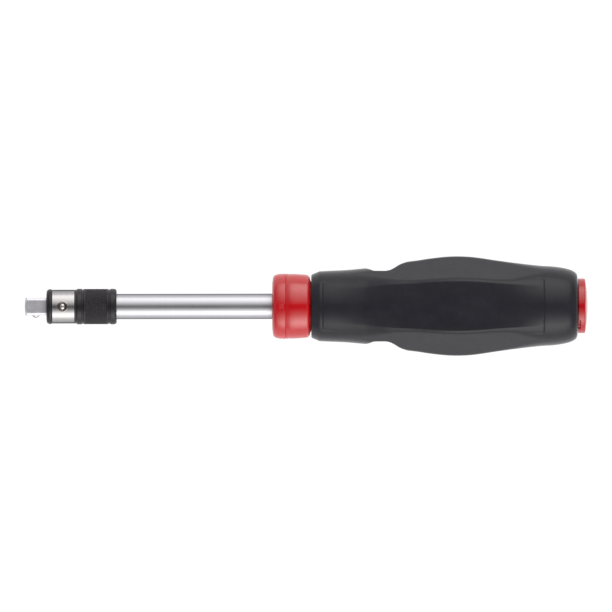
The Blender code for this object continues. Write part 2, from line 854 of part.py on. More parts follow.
def build_knurled_sleeve():
    groove_radius = sleeve_radius - sleeve_groove_depth
    bead_end = sleeve_front_x + sleeve_lip + sleeve_bead
    rear_bead_end = sleeve_rear_x - sleeve_rear_round
    rear_bead_start = rear_bead_end - sleeve_rear_bead
    step_bore = barrel_radius + run_gap
    profile = [
        (sleeve_rear_x, sleeve_bore_radius),
        (sleeve_rear_x, sleeve_rear_radius),
        (rear_bead_end, sleeve_radius),
        (rear_bead_start, sleeve_radius),
        (rear_bead_start - sleeve_groove / 3, groove_radius),
        (rear_bead_start - sleeve_groove * 2 / 3, groove_radius),
        (rear_bead_start - sleeve_groove, sleeve_radius),
        (bead_end + sleeve_groove, sleeve_radius),
        (bead_end + sleeve_groove * 2 / 3, groove_radius),
        (bead_end + sleeve_groove / 3, groove_radius),
        (bead_end, sleeve_radius),
        (sleeve_front_x + sleeve_lip, sleeve_radius),
        (sleeve_front_x, sleeve_radius - sleeve_lip_drop),
        (sleeve_front_x, step_bore),
        (sleeve_step_x, step_bore),
        (sleeve_step_x, sleeve_bore_radius),
    ]
    sleeve = turned("knurled_sleeve", profile, large_steps)
    socket = rod(
        "plunger_socket",
        plunger_radius + plunger_hole_gap,
        sleeve_front_x - overrun,
        sleeve_front_x + plunger_grip + slip_gap,
        collection=cutters,
        at=(0.0, 0.0, plunger_axis_radius),
    )
    cut(sleeve, socket)
    finish(sleeve, black_oxide)


def build_sleeve_spring():
    spring = coil(
        "sleeve_spring",
        sleeve_spring_radius,
        sleeve_spring_wire,
        sleeve_step_x + slip_gap,
        washer_front_x - slip_gap,
        sleeve_spring_turns,
        per_turn=sleeve_spring_steps,
    )
    finish(spring, spring_steel)


def build_spring_washer():
    inner = barrel_radius + slip_gap
    outer = sleeve_bore_radius - washer_edge_gap
    end = washer_front_x + washer_thickness
    profile = [(end, inner), (end, outer), (washer_front_x, outer), (washer_front_x, inner)]
    finish(turned("spring_washer", profile, steps), zinc)


def clip_outline(inner, outer):
    """A ring open at its top by the circlips' opening."""
    start = math.pi / 2 + circlip_opening_angle / 2
    return sector(inner, outer, start, start + 2 * math.pi - circlip_opening_angle, clip_steps)


def build_sleeve_circlip():
    outline = clip_outline(circlip_bore_radius, circlip_bore_radius + circlip_height)
    clip = extruded(
        "sleeve_circlip", [outline], circlip_front_x, circlip_front_x + circlip_thickness
    )
    finish(clip, spring_steel)


def build_shaft():
    end_corner = corner_reach(shaft_end_flats)
    front = [
        (shaft_shoulder_x, 0.0),
        (shaft_shoulder_x, shaft_radius - shaft_edge),
        (shaft_shoulder_x - shaft_edge, shaft_radius),
        (shaft_front_x + shaft_edge, shaft_radius),
        (shaft_front_x, shaft_radius - shaft_edge),
        (shaft_front_x, spigot_radius),
        (spigot_front_x + shaft_edge, spigot_radius),
        (spigot_front_x, spigot_radius - shaft_edge),
        (spigot_front_x, 0.0),
    ]
    shaft = turned("shaft", front, large_steps)
    end = extruded(
        "shaft_end_form", [hexagon(shaft_end_flats)], shaft_shoulder_x - overrun, shaft_end_x, cutters
    )
    tail = [
        (shaft_end_x, 0.0),
        (shaft_end_x, end_corner - shaft_end_chamfer),
        (shaft_end_x - shaft_end_chamfer, end_corner + slip_gap),
        (shaft_shoulder_x - 2 * overrun, end_corner + slip_gap),
        (shaft_shoulder_x - 2 * overrun, 0.0),
    ]
    cut(end, turned("shaft_end_chamfer", tail, steps, cutters), "INTERSECT")
    cut(shaft, end, "UNION")
    groove_end = gear_clip_x + gear_clip_thickness + circlip_groove_side
    groove = [
        (groove_end, gear_clip_groove_radius),
        (groove_end, end_corner + overrun),
        (gear_clip_x - circlip_groove_side, end_corner + overrun),
        (gear_clip_x - circlip_groove_side, gear_clip_groove_radius),
    ]
    cut(shaft, turned("gear_clip_groove", groove, steps, cutters))
    cut(shaft, cross_hole("spigot_pin_hole"))
    finish(shaft, chrome)


# Ratchet: selector ring, housing, gear, pawls and springs


def pawl_pivot():
    return Vector((pawl_pivot_radius, 0.0))


def cam_ramp():
    """The cam at +Y as (radius, angle) points: the path of a pawl's tail as the turning ring sees it."""
    tail = Vector(polar(pawl_tail_radius, pawl_tail_angle)) - pawl_pivot()
    ratio = pawl_swing_angle / selector_turn_angle
    ramp = []
    for i in range(-cam_half_steps, cam_half_steps + 1):
        turn = (selector_turn_angle + cam_overlap_angle) * i / cam_half_steps
        spot = pawl_pivot() + Matrix.Rotation(-turn * ratio, 2) @ tail
        angle = math.atan2(spot.y, spot.x) - turn
        ramp.append((min(spot.length + pawl_tail_round + cam_gap, skirt_bore_radius), angle))
    return sorted(ramp, key=lambda point: point[1])


def cam_outline():
    """The inside of the selector ring's skirt, with a cam for each pawl."""
    ramp = cam_ramp()
    right = [polar(radius, angle) for radius, angle in ramp]
    low, high = ramp[0][1], ramp[-1][1]
    below = arc(skirt_bore_radius, -math.pi - low, low, small_steps)
    above = arc(skirt_bore_radius, high, math.pi - high, steps)
    return below + right + above[1:-1] + mirrored(right)


def build_selector_ring():
    bore = selector_bore_radius
    front_bore = shaft_radius + run_gap
    hub_start = selector_rear_x
    crown_x = selector_front_x + selector_crown
    chamfer_x = selector_rear_x - selector_rear_chamfer
    waist_x = (crown_x + chamfer_x) / 2
    waist = selector_rear_radius + (selector_radius - selector_rear_radius) * selector_waist_share
    rib_end = selector_rib_x + selector_rib_width
    cavity_front = selector_front_x + selector_front_wall
    cam_end = pocket_rear_x - cam_rear_gap
    profile = [
        (cam_end, bore),
        (cam_end, skirt_bore_radius + slip_gap),
        (selector_skirt_end_x, skirt_bore_radius + slip_gap),
        (selector_skirt_end_x, selector_skirt_radius),
        (selector_hub_end_x, selector_skirt_radius),
        (selector_hub_end_x, selector_hub_radius),
        (hub_start, selector_hub_radius),
        (chamfer_x, selector_rear_radius),
        (waist_x, waist),
        (crown_x, selector_radius),
    ]
    profile += [
        (crown_x - selector_crown * along_share, selector_radius * out_share)
        for along_share, out_share in crown_shares
    ]
    profile += [
        (selector_front_x, front_bore),
        (cavity_front, front_bore),
        (cavity_front, bore),
        (selector_rib_x, bore),
        (selector_rib_x, bore - selector_rib_height),
        (rib_end, bore - selector_rib_height),
        (rib_end, bore),
    ]
    ring = turned("selector_ring", profile, large_steps)
    cams = extruded("cam_form", [cam_outline()], selector_step_x, cam_end + overrun, cutters)
    cut(ring, cams)
    for k, turn in enumerate((-selector_turn_angle, 0.0, selector_turn_angle)):
        y, z = polar(detent_ball_axis_radius, math.pi / 2 + turn)
        centre = (detent_ball_x - detent_ball_travel, y, z)
        counts = (small_ball_segments, small_ball_rings)
        cut(ring, ball(f"detent_dimple_{k}", detent_dimple_radius, centre, *counts, cutters))
    finish(ring, red_plastic)


def build_ratchet_housing():
    groove_x = selector_rib_x - neck_groove_side
    groove_end = selector_rib_x + selector_rib_width + neck_groove_side
    groove_floor = neck_radius - neck_groove_depth
    profile = [
        (cage_rear_x, cage_bore_radius),
        (cage_rear_x, cage_radius),
        (cage_front_x, cage_radius),
        (cage_front_x, neck_radius),
        (groove_end, neck_radius),
        (groove_end, groove_floor),
        (groove_x, groove_floor),
        (groove_x, neck_radius),
        (neck_front_x + neck_edge, neck_radius),
        (neck_front_x, neck_radius - neck_edge),
        (neck_front_x, shaft_radius + neck_lip_gap),
        (neck_front_x + neck_lip, shaft_radius + neck_lip_gap),
        (neck_front_x + neck_lip, cage_bore_radius),
    ]
    housing = turned("ratchet_housing", profile, large_steps)
    ramp = cam_ramp()
    cam_low = ramp[0][1] - selector_turn_angle
    cam_high = ramp[-1][1] + selector_turn_angle
    inner = cage_bore_radius - gear_side_gap
    outer = cage_radius + overrun
    pocket = sector(inner, outer, cam_low - pocket_margin_angle, pocket_end_angle, small_steps)
    window = sector(neck_radius, outer, cam_low - window_margin_angle, cam_high + window_margin_angle)
    for side, shape in (("left", lambda outline: outline), ("right", mirrored)):
        cut(
            housing,
            extruded(f"pocket_{side}", [shape(pocket)], pocket_front_x, pocket_rear_x, cutters),
        )
        cut(
            housing,
            extruded(
                f"window_{side}",
                [shape(window)],
                cage_front_x - overrun,
                pocket_front_x + overrun,
                cutters,
            ),
        )
        cut(housing, leaf_solid(f"leaf_slot_{side}", shape, fit_gap, cutters))
        sign = 1 if side == "left" else -1
        pin_hole = rod(
            f"pin_hole_{side}",
            pawl_pin_radius + pawl_pin_gap,
            pocket_front_x - pawl_pin_seat - pawl_pin_gap,
            cage_rear_x + overrun,
            collection=cutters,
            at=(0.0, sign * pawl_pivot_radius, 0.0),
        )
        cut(housing, pin_hole)
    hole_radius = detent_ball_radius + detent_ball_hole_gap
    detent_hole = rod(
        "detent_hole",
        hole_radius,
        cage_front_x - overrun,
        detent_ball_x + detent_ball_radius + detent_spring_length + 2 * slip_gap,
        collection=cutters,
        at=(0.0, 0.0, detent_ball_axis_radius),
    )
    cut(housing, detent_hole)
    for k, angle in enumerate(screw_angles):
        y, z = polar(screw_circle_radius, angle)
        thread_hole = rod(
            f"thread_hole_{k}",
            screw_radius + screw_gap,
            cover_rear_x - screw_length - screw_gap,
            cage_rear_x + overrun,
            collection=cutters,
            at=(0.0, y, z),
        )
        cut(housing, thread_hole)
    finish(housing, zinc)


def build_front_bush():
    inner = shaft_radius + bush_bore_gap
    outer = cage_bore_radius - bush_gap
    profile = [
        (bush_rear_x, inner),
        (bush_rear_x, outer),
        (bush_front_x, outer),
        (bush_front_x, inner),
    ]
    finish(turned("front_bush", profile, steps), bronze)


def build_ratchet_gear():
    outline = []
    pitch = 2 * math.pi / gear_teeth
    for k in range(gear_teeth):
        outline.append(polar(gear_tip_radius - gear_tooth_height, k * pitch))
        outline.append(polar(gear_tip_radius, (k + tooth_start_share) * pitch))
        outline.append(polar(gear_tip_radius, (k + tooth_end_share) * pitch))
    bore = hexagon(shaft_end_flats + 2 * fit_gap)
    gear = extruded("ratchet_gear", [outline, bore], gear_front_x, gear_rear_x)
    finish(gear, satin_steel)


def build_gear_circlip():
    inner = gear_clip_groove_radius + slip_gap
    outline = clip_outline(inner, inner + gear_clip_height)
    clip = extruded("gear_circlip", [outline], gear_clip_x, gear_clip_x + gear_clip_thickness)
    finish(clip, spring_steel)


def pawl_outline():
    """The pawl at +Y, about its pivot: nose up and in, tail down and out."""
    pivot = pawl_pivot()
    nose_radius = gear_tip_radius - pawl_nose_dip
    nose = Vector(polar(nose_radius, pawl_nose_angle))
    outward = Vector(polar(1.0, pawl_nose_angle))
    sideways = Vector((-outward.y, outward.x))
    spread = pawl_nose_height * math.tan(pawl_nose_half_angle)
    base = nose + outward * pawl_nose_height
    tail = Vector(polar(pawl_tail_radius, pawl_tail_angle))
    waist = Vector(polar(pawl_waist_radius, pawl_tail_angle * pawl_waist_share))
    back = Vector(polar(pawl_back_radius, pawl_nose_angle))
    boss_inner = arc(pawl_boss_radius, *pawl_boss_inner_angles, arc_points // 2)
    boss_outer = arc(pawl_boss_radius, *pawl_boss_outer_angles, arc_points // 2)
    tail_start = pawl_tail_angle + math.pi
    tail_end = arc(pawl_tail_round, tail_start, tail_start + pawl_tail_sweep_angle, arc_points)
    points = [nose - pivot, base + sideways * spread - pivot]
    points.append(back + sideways * pawl_tail_round - pivot)
    points.append(back - sideways * pawl_tail_round - pivot)
    points += [Vector(point) for point in reversed(boss_outer)]
    points += [tail - pivot + Vector(point) for point in reversed(tail_end)]
    points.append(waist - pivot)
    points += [Vector(point) for point in reversed(boss_inner)]
    points.append(base - sideways * spread - pivot)
    return [(point.x, point.y) for point in reversed(points)]


def build_pawls():
    last = small_steps - 1
    eye = arc(pawl_pin_radius + pawl_pin_gap, 0.0, 2 * math.pi * last / small_steps, last)
    for side, shape, sign in (("left", lambda outline: outline, 1), ("right", mirrored, -1)):
        pawl = extruded(
            f"pawl_{side}",
            [shape(pawl_outline()), eye],
            pawl_front_x,
            pawl_rear_x,
            at=(sign * pawl_pivot_radius, 0.0),
        )
        finish(pawl, satin_steel)


def build_pawl_pins():
    for side, sign in (("left", 1), ("right", -1)):
        pin = rod(
            f"pawl_pin_{side}",
            pawl_pin_radius,
            pocket_front_x - pawl_pin_seat,
            cage_rear_x - slip_gap,
            at=(0.0, sign * pawl_pivot_radius, 0.0),
        )
        finish(pin, satin_steel)


def leaf_solid(name, shape, grow, collection=None):
    """A leaf spring from its slot in the cage to the back of a pawl's nose, grown all round by grow."""
    root = Vector(polar(leaf_root_radius, leaf_root_angle))
    back = Vector(polar(pawl_back_radius + leaf_gap + leaf_thickness / 2, pawl_nose_angle))
    along = (back - root).normalized()
    side = Vector((-along.y, along.x)) * (leaf_thickness / 2 + grow)
    root = root - along * grow
    tip = back + along * pawl_tail_round
    outline = [root - side, tip - side, tip + side, root + side]
    inset = leaf_side_gap - grow
    points = shape([(point.x, point.y) for point in outline])
    return extruded(name, [points], pawl_front_x + inset, pawl_rear_x - inset, collection)


def build_pawl_springs():
    for side, shape in (("left", lambda outline: outline), ("right", mirrored)):
        finish(leaf_solid(f"pawl_spring_{side}", shape, 0.0), spring_steel)


def build_detent():
    centre = (detent_ball_x, 0.0, detent_ball_axis_radius)
    counts = (small_ball_segments, small_ball_rings)
    finish(ball("detent_ball", detent_ball_radius, centre, *counts), bright_steel)
    start = detent_ball_x + detent_ball_radius + slip_gap
    spring = coil(
        "detent_spring",
        detent_spring_radius,
        detent_spring_wire,
        start,
        start + detent_spring_length,
        detent_spring_turns,
        at=(0.0, 0.0, detent_ball_axis_radius),
    )
    finish(spring, spring_steel)


def build_thrust_ball():
    finish(ball("thrust_ball", thrust_ball_radius, (thrust_ball_x, 0.0, 0.0)), bright_steel)


def build_housing_cover():
    profile = [
        (cover_rear_x, 0.0),
        (cover_rear_x, cage_radius - cover_edge),
        (cover_rear_x - cover_edge, cage_radius),
        (cover_front_x, cage_radius),
        (cover_front_x, 0.0),
    ]
    cover = turned("housing_cover", profile, large_steps)
    seat_radius = thrust_ball_radius + fit_gap
    seat_floor = thrust_ball_x + thrust_ball_radius + slip_gap
    cut(cover, rod("ball_seat", seat_radius, cover_front_x - overrun, seat_floor, steps, cutters))
    for k, angle in enumerate(screw_angles):
        y, z = polar(screw_circle_radius, angle)
        head = screw_head_radius + screw_gap
        floor = cover_rear_x - screw_head_height - screw_gap
        stem = screw_radius + screw_gap
        hole = [
            (cover_rear_x + overrun, 0.0),
            (cover_rear_x + overrun, head),
            (floor, head),
            (floor, stem),
            (cover_front_x - overrun, stem),
            (cover_front_x - overrun, 0.0),
        ]
        cut(cover, turned(f"screw_hole_{k}", hole, small_steps, cutters, (0.0, y, z)))
    for sign in (1, -1):
        cut(cover, housing_pin_hole(f"cover_pin_hole_{sign}", sign))
    finish(cover, zinc)


def build_cover_screws():
    for k, angle in enumerate(screw_angles, 1):
        y, z = polar(screw_circle_radius, angle)
        profile = [
            (cover_rear_x, 0.0),
            (cover_rear_x, screw_head_radius),
            (cover_rear_x - screw_head_height, screw_head_radius),
            (cover_rear_x - screw_head_height, screw_radius),
            (cover_rear_x - screw_length, screw_radius),
            (cover_rear_x - screw_length, 0.0),
        ]
        screw = turned(f"cover_screw_{k}", profile, small_steps, at=(0.0, y, z))
        half = screw_slot / 2
        reach = screw_head_radius + overrun
        slot_outline = [(-reach, -half), (reach, -half), (reach, half), (-reach, half)]
        slot = extruded(
            f"screw_slot_{k}",
            [slot_outline],
            cover_rear_x - screw_head_height / 2,
            cover_rear_x + overrun,
            cutters,
            at=(y, z),
        )
        finish(cut(screw, slot), zinc)


def housing_pin(name, sign, radius, low, high, collection=None):
    """A radial pin through the core's wall into the cover, or the hole for it."""
    start, end = sorted((sign * low, sign * high))
    middle = ((cover_front_x + cover_rear_x) / 2, 0.0, 0.0)
    return rod(name, radius, start, end, collection=collection, at=middle, along="y")


def housing_pin_hole(name, sign):
    radius = housing_pin_radius + housing_pin_gap
    low = cage_radius - housing_pin_depth - housing_pin_gap
    return housing_pin(name, sign, radius, low, core_front_radius + overrun, cutters)


def build_housing_pins():
    low = cage_radius - housing_pin_depth
    high = core_front_radius - housing_pin_sink
    for side, sign in (("left", 1), ("right", -1)):
        finish(housing_pin(f"housing_pin_{side}", sign, housing_pin_radius, low, high), satin_steel)


# Handle: core, grip and end cap


def rounded_section(x, corner, corner_round, limit=None):
    """A ring of points at x: a hexagon with rounded corners, corners facing +Y and -Y.

    corner is the reach to the rounded corners. A corner_round as large as corner gives a circle.
    limit, if given, holds back the points in Y.
    """
    centre = corner - corner_round
    points = []
    for k in range(6):
        out = k * hexagon_angle
        for i in range(arc_points):
            turn = out + hexagon_angle * ((i + 0.5) / arc_points - 0.5)
            y = centre * math.cos(out) + corner_round * math.cos(turn)
            z = centre * math.sin(out) + corner_round * math.sin(turn)
            if limit:
                y = max(-limit, min(limit, y))
            points.append((x, y, z))
    return points


def core_stations():
    """Places along the core with the reach of its corners and their radius."""
    belly_corner = corner_reach(core_belly_flats - 2 * core_belly_round) + core_belly_round
    swell_corner = (core_front_radius + belly_corner) / 2
    rows = [
        (0.0, core_front_radius, core_front_radius),
        (core_neck_share, core_front_radius, core_front_radius),
        (core_swell_share, swell_corner, core_swell_round),
        (core_belly_share, belly_corner, core_belly_round),
        (core_tail_share, core_tail_radius, core_tail_round),
        (1.0, core_rear_radius, core_rear_radius),
    ]
    length = core_rear_x - core_front_x
    return [(core_front_x + share * length, reach, corner_round) for share, reach, corner_round in rows]


def build_handle_core():
    seat_x = selector_skirt_end_x + run_gap
    pocket_radius = selector_skirt_radius + run_gap
    sections = [
        rounded_section(core_floor_x, core_seat_radius, core_seat_radius),
        rounded_section(seat_x, core_seat_radius, core_seat_radius),
        rounded_section(seat_x, pocket_radius, pocket_radius),
        rounded_section(core_front_x, pocket_radius, pocket_radius),
    ]
    sections += [rounded_section(*station) for station in core_stations()]
    sections += [
        rounded_section(core_rear_x, store_radius, store_radius),
        rounded_section(store_floor_x, store_radius, store_radius),
    ]
    core = loft("handle_core", sections, grey_nylon, capped=True)
    for sign in (1, -1):
        cut(core, housing_pin_hole(f"core_pin_hole_{sign}", sign))


def grip_stations():
    """Places along the grip with the reach of its corners and their radius, front to rear."""
    rows = []
    for share, rise_share in mouth_shares:
        reach = eased(grip_front_radius, grip_shoulder_radius, rise_share)
        rows.append((share, reach, reach))
    for share, rise_share in neck_shares:
        reach = eased(grip_neck_radius, grip_swell_radius, rise_share)
        rows.append((share, reach, reach))
    rows.append((swell_share, grip_swell_radius, grip_swell_radius * swell_round_share))
    for share, rise_share, round_share in belly_shares:
        reach = eased(grip_swell_radius, grip_belly_radius, rise_share)
        rows.append((share, reach, grip_corner_round * round_share))
    for share, rise_share, round_share in tail_shares:
        reach = eased(grip_tail_radius, grip_belly_radius, rise_share)
        rows.append((share, reach, grip_corner_round * round_share))
    for share, drop_share in rear_shares:
        reach = eased(grip_tail_radius, grip_rear_radius, drop_share)
        rows.append((share, reach, reach))
    for share, drop_share in edge_shares:
        reach = eased(grip_rear_radius, grip_rear_face_radius, drop_share)
        rows.append((share, reach, reach))
    return [(grip_front_x + share * grip_length, reach, corner_round) for share, reach, corner_round in rows]


def eased(start, end, share):
    return start + (end - start) * share


def notch_limit(x):
    """How far the two side corners reach in Y, or none clear of the finger notches."""
    if x <= notch_start_x or x >= notch_end_x:
        return None
    if x < notch_floor_start_x:
        share = (notch_floor_start_x - x) / notch_fall
        return eased(notch_half_width, grip_swell_radius, share**notch_fall_power)
    if x <= notch_floor_end_x:
        return notch_half_width
    share = math.sin((x - notch_floor_end_x) / notch_rise * math.pi / 2)
    return eased(notch_half_width, notch_end_half_width, share**notch_rise_power)


def build_grip_cover():
    mouth_x = grip_front_x + grip_mouth_length
    mouth_radius = selector_hub_radius + grip_mouth_gap
    sections = [rounded_section(*station, notch_limit(station[0])) for station in grip_stations()]
    inner = [
        (x, corner + fit_gap, corner_round + fit_gap)
        for x, corner, corner_round in reversed(core_stations())
    ]
    inner[0] = (grip_rear_x, inner[0][1], inner[0][2])
    inner[-1] = (mouth_x, inner[-1][1], inner[-1][2])
    sections += [rounded_section(*station) for station in inner]
    sections.append(rounded_section(mouth_x, mouth_radius, mouth_radius))
    sections.append(rounded_section(grip_front_x, mouth_radius, mouth_radius))
    loft("grip_cover", sections, black_rubber, capped=False)


def build_end_cap():
    plug = cap_plug_radius
    bead = store_radius - cap_bead_gap
    bead_x = cap_plug_front_x + cap_plug_length / 2
    hollow = cap_plug_radius - cap_plug_wall
    edge_x = cap_rear_x - cap_crown
    profile = [
        (cap_rear_x - cap_crown * fall_share, cap_radius * out_share)
        for fall_share, out_share in cap_crown_shares
    ]
    profile += [
        (edge_x - cap_edge * fall_share, cap_radius - cap_edge * in_share)
        for fall_share, in_share in cap_edge_shares
    ]
    profile += [
        (cap_front_x + cap_edge / 2, cap_radius),
        (cap_front_x, cap_radius - cap_edge / 2),
        (cap_front_x, plug),
        (bead_x + cap_bead_width, plug),
        (bead_x + cap_bead_width / 2, bead),
        (bead_x, plug),
        (cap_plug_front_x + cap_edge, plug),
        (cap_plug_front_x, plug - cap_edge),
        (cap_plug_front_x, hollow),
        (cap_front_x, hollow),
        (cap_front_x, 0.0),
    ]
    cap = turned("end_cap", profile, large_steps)
    half = pry_notch_width / 2
    outline = [(cap_radius - pry_notch_depth, -half), (cap_radius + overrun, -half)]
    outline += [(cap_radius + overrun, half), (cap_radius - pry_notch_depth, half)]
    spun = [tuple(Matrix.Rotation(pry_notch_angle, 2) @ Vector(point)) for point in outline]
    notch = extruded(
        "pry_notch", [spun], cap_front_x - overrun, cap_front_x + pry_notch_length, cutters
    )
    cut(cap, notch)
    finish(cap, red_plastic)


build_drive_adaptor()
build_drive_ball()
build_nose_ring()
build_chuck_body()
build_chuck_pin()
build_lock()
build_knurled_sleeve()
build_sleeve_spring()
build_spring_washer()
build_sleeve_circlip()
build_shaft()
build_selector_ring()
build_ratchet_housing()
build_front_bush()
build_ratchet_gear()
build_gear_circlip()
build_pawls()
build_pawl_pins()
build_pawl_springs()
build_detent()
build_thrust_ball()
build_housing_cover()
build_cover_screws()
build_housing_pins()
build_handle_core()
build_grip_cover()
build_end_cap()
bpy.context.view_layer.update()
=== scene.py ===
import math

import bpy
import numpy as np
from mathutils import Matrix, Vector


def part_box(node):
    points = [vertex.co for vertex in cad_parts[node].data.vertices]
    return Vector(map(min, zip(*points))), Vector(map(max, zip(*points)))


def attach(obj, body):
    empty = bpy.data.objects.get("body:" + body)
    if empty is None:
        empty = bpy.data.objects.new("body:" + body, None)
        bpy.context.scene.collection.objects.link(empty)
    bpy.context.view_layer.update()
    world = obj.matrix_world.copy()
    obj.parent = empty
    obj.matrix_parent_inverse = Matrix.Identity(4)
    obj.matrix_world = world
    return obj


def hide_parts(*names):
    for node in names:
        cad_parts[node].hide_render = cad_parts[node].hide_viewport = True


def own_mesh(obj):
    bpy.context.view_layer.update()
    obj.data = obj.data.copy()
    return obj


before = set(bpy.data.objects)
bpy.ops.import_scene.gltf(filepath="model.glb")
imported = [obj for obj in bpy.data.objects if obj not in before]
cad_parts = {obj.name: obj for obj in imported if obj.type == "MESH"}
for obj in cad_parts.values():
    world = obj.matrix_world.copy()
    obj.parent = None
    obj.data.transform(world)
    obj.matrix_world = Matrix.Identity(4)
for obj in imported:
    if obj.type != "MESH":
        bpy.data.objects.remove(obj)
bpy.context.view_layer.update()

mm = 0.001
quarter = math.pi / 2
sixth = math.pi / 3
upward = quarter   # angles run from +Y towards +Z, seen from the front
print("frame loaded")


# Surfaces

def addObject(name, data):
    added = bpy.data.objects.new(name, data)
    bpy.context.scene.collection.objects.link(added)
    return added


# Angles of the columns of a surface, once round the tool's axis.
def roundAngles(columns):
    return np.arange(columns) * (2 * math.pi / columns)


# Grid of points from places along the axis, reaches from it and angles: (x, r cos a, r sin a).
def aroundAxis(x, reach, angles):
    x, reach, a = np.broadcast_arrays(x, reach, angles)
    return np.stack([x, reach * np.cos(a), reach * np.sin(a)], axis=-1)


# Piece from a grid of points whose columns join up round it. Rows join up as well where the
# profile is a closed loop, and otherwise the first and last row each close on a middle point.
# hole takes a block of faces away and puts a wall in: the mask of faces kept, points and faces.
def makePiece(name, grid, rowsJoin=False, hole=None):
    rows, columns = grid.shape[:2]
    index = np.arange(rows * columns).reshape(rows, columns)
    points = grid.reshape(-1, 3)
    if rowsJoin:
        index = np.vstack([index, index[:1]])
    right = np.roll(index, -1, axis=1)
    quads = np.stack([index[:-1], right[:-1], right[1:], index[1:]], axis=-1)
    quads = quads.reshape(-1, 4) if hole is None else quads[hole["kept"]]
    wallStart = len(quads)
    if hole is not None:
        quads = np.concatenate([quads, hole["faces"]])
        points = np.concatenate([points, hole["points"]])
    fans = np.zeros((0, 3), int)
    if not rowsJoin:
        first, last = len(points), len(points) + 1
        points = np.concatenate([points, [grid[0].mean(0)], [grid[-1].mean(0)]])
        fans = np.concatenate([
            np.stack([np.full(columns, first), right[0], index[0]], axis=-1),
            np.stack([index[-1], right[-1], np.full(columns, last)], axis=-1),
        ])
    mesh = bpy.data.meshes.new(name)
    mesh.vertices.add(len(points))
    mesh.vertices.foreach_set("co", points.astype(np.float32).ravel())
    corners = np.concatenate([quads.ravel(), fans.ravel()])
    starts = np.concatenate([np.arange(len(quads)) * 4, len(quads) * 4 + np.arange(len(fans)) * 3])
    mesh.loops.add(len(corners))
    mesh.loops.foreach_set("vertex_index", corners.astype(np.int32))
    mesh.polygons.add(len(starts))
    mesh.polygons.foreach_set("loop_start", starts.astype(np.int32))
    mesh.polygons.foreach_set("use_smooth", np.ones(len(starts), bool))
    marks = np.zeros(len(starts), np.int32)
    marks[wallStart:len(quads)] = 1   # the hole's wall has the second material
    mesh.polygons.foreach_set("material_index", marks)
    mesh.update(calc_edges=True)
    mesh.validate()
    return addObject(name, mesh)


# Profile with its corners rounded. Each corner P becomes the curve (1-t)^2 A + 2t(1-t) P + t^2 B
# between points A and B on its two sides, and each straight run keeps a point near both its ends,
# so that it shades flat up to the curve. The shares limit both on short runs.
def roundedProfile(corners, rounds, steps=6, closed=True, lead=0.12 * mm):
    cutShare, leadShare = 0.42, 0.3
    p = np.array(corners, float) * mm
    cut = np.broadcast_to(np.array(rounds, float) * mm, len(p))
    before, after = np.roll(p, 1, axis=0) - p, np.roll(p, -1, axis=0) - p
    lengthBefore = np.linalg.norm(before, axis=1)
    lengthAfter = np.linalg.norm(after, axis=1)
    cut = np.minimum(cut, cutShare * np.minimum(lengthBefore, lengthAfter))
    before, after = before / lengthBefore[:, None], after / lengthAfter[:, None]
    leadIn = np.minimum(lead, leadShare * (lengthBefore - cut - np.roll(cut, 1)))
    leadOut = np.minimum(lead, leadShare * (lengthAfter - cut - np.roll(cut, -1)))
    t = np.linspace(0, 1, steps)[None, :, None]
    a, b = p + before * cut[:, None], p + after * cut[:, None]
    curve = (1 - t) ** 2 * a[:, None] + 2 * t * (1 - t) * p[:, None] + t**2 * b[:, None]
    rows = np.concatenate([
        (a + before * leadIn[:, None])[:, None], curve, (b + after * leadOut[:, None])[:, None]
    ], axis=1)
    if closed:
        return rows.reshape(-1, 2)
    return np.concatenate([p[:1], rows[1:-1].reshape(-1, 2), p[-1:]])


# The same profile with evenly spaced extra points between two places on one straight run of it.
def withExtraPoints(profile, start, end, count, rising=True):
    sign = 1 if rising else -1
    x = profile[:, 0] * sign
    low, high = sorted((start * sign, end * sign))
    run = np.nonzero((x[:-1] <= low) & (x[1:] >= high))[0][0]
    share = (np.linspace(low, high, count) - x[run]) / (x[run + 1] - x[run])
    extra = profile[run] + share[:, None] * (profile[run + 1] - profile[run])
    return np.insert(profile, run + 1, extra, axis=0)


# Smooth line through given points with no overshoot: a cubic between each two points, whose lean
# at a point is the harmonic mean of the slopes on its two sides.
def smoothThrough(x, places):
    px, py = np.array(places, float).T * mm
    step = np.diff(px)
    slope = np.diff(py) / step
    level = slope[:-1] * slope[1:] <= 0
    total = np.where(level, 1, slope[:-1] + slope[1:])
    lean = np.where(level, 0, 2 * slope[:-1] * slope[1:] / total)
    lean = np.concatenate([slope[:1], lean, slope[-1:]])
    k = np.clip(np.searchsorted(px, x, side="right") - 1, 0, len(step) - 1)
    t = np.clip((x - px[k]) / step[k], 0, 1)
    rise = py[k] * (1 + 2 * t) * (1 - t) ** 2 + py[k + 1] * t**2 * (3 - 2 * t)
    return rise + step[k] * t * (1 - t) * (lean[k] * (1 - t) - lean[k + 1] * t)


# Bell over a distance: exp(-(away / width)^2), 1 in its middle.
def bell(away, width):
    return np.exp(-((away / width) ** 2))


# Places along a line of points, closer together round some spots: equal steps of the running sum
# of a density that is 1, plus a bell of given width and strength at each spot.
def crowdedPlaces(line, count, spots, fineSteps=6000):
    fine = np.linspace(line[0][0] * mm, line[-1][0] * mm, fineSteps)
    at, width, strength = np.array(spots, float).T
    bells = strength * bell(fine[:, None] - at * mm, width * mm)
    total = np.cumsum(1 + bells.sum(1))
    return np.interp(np.linspace(total[0], total[-1], count), total, fine)


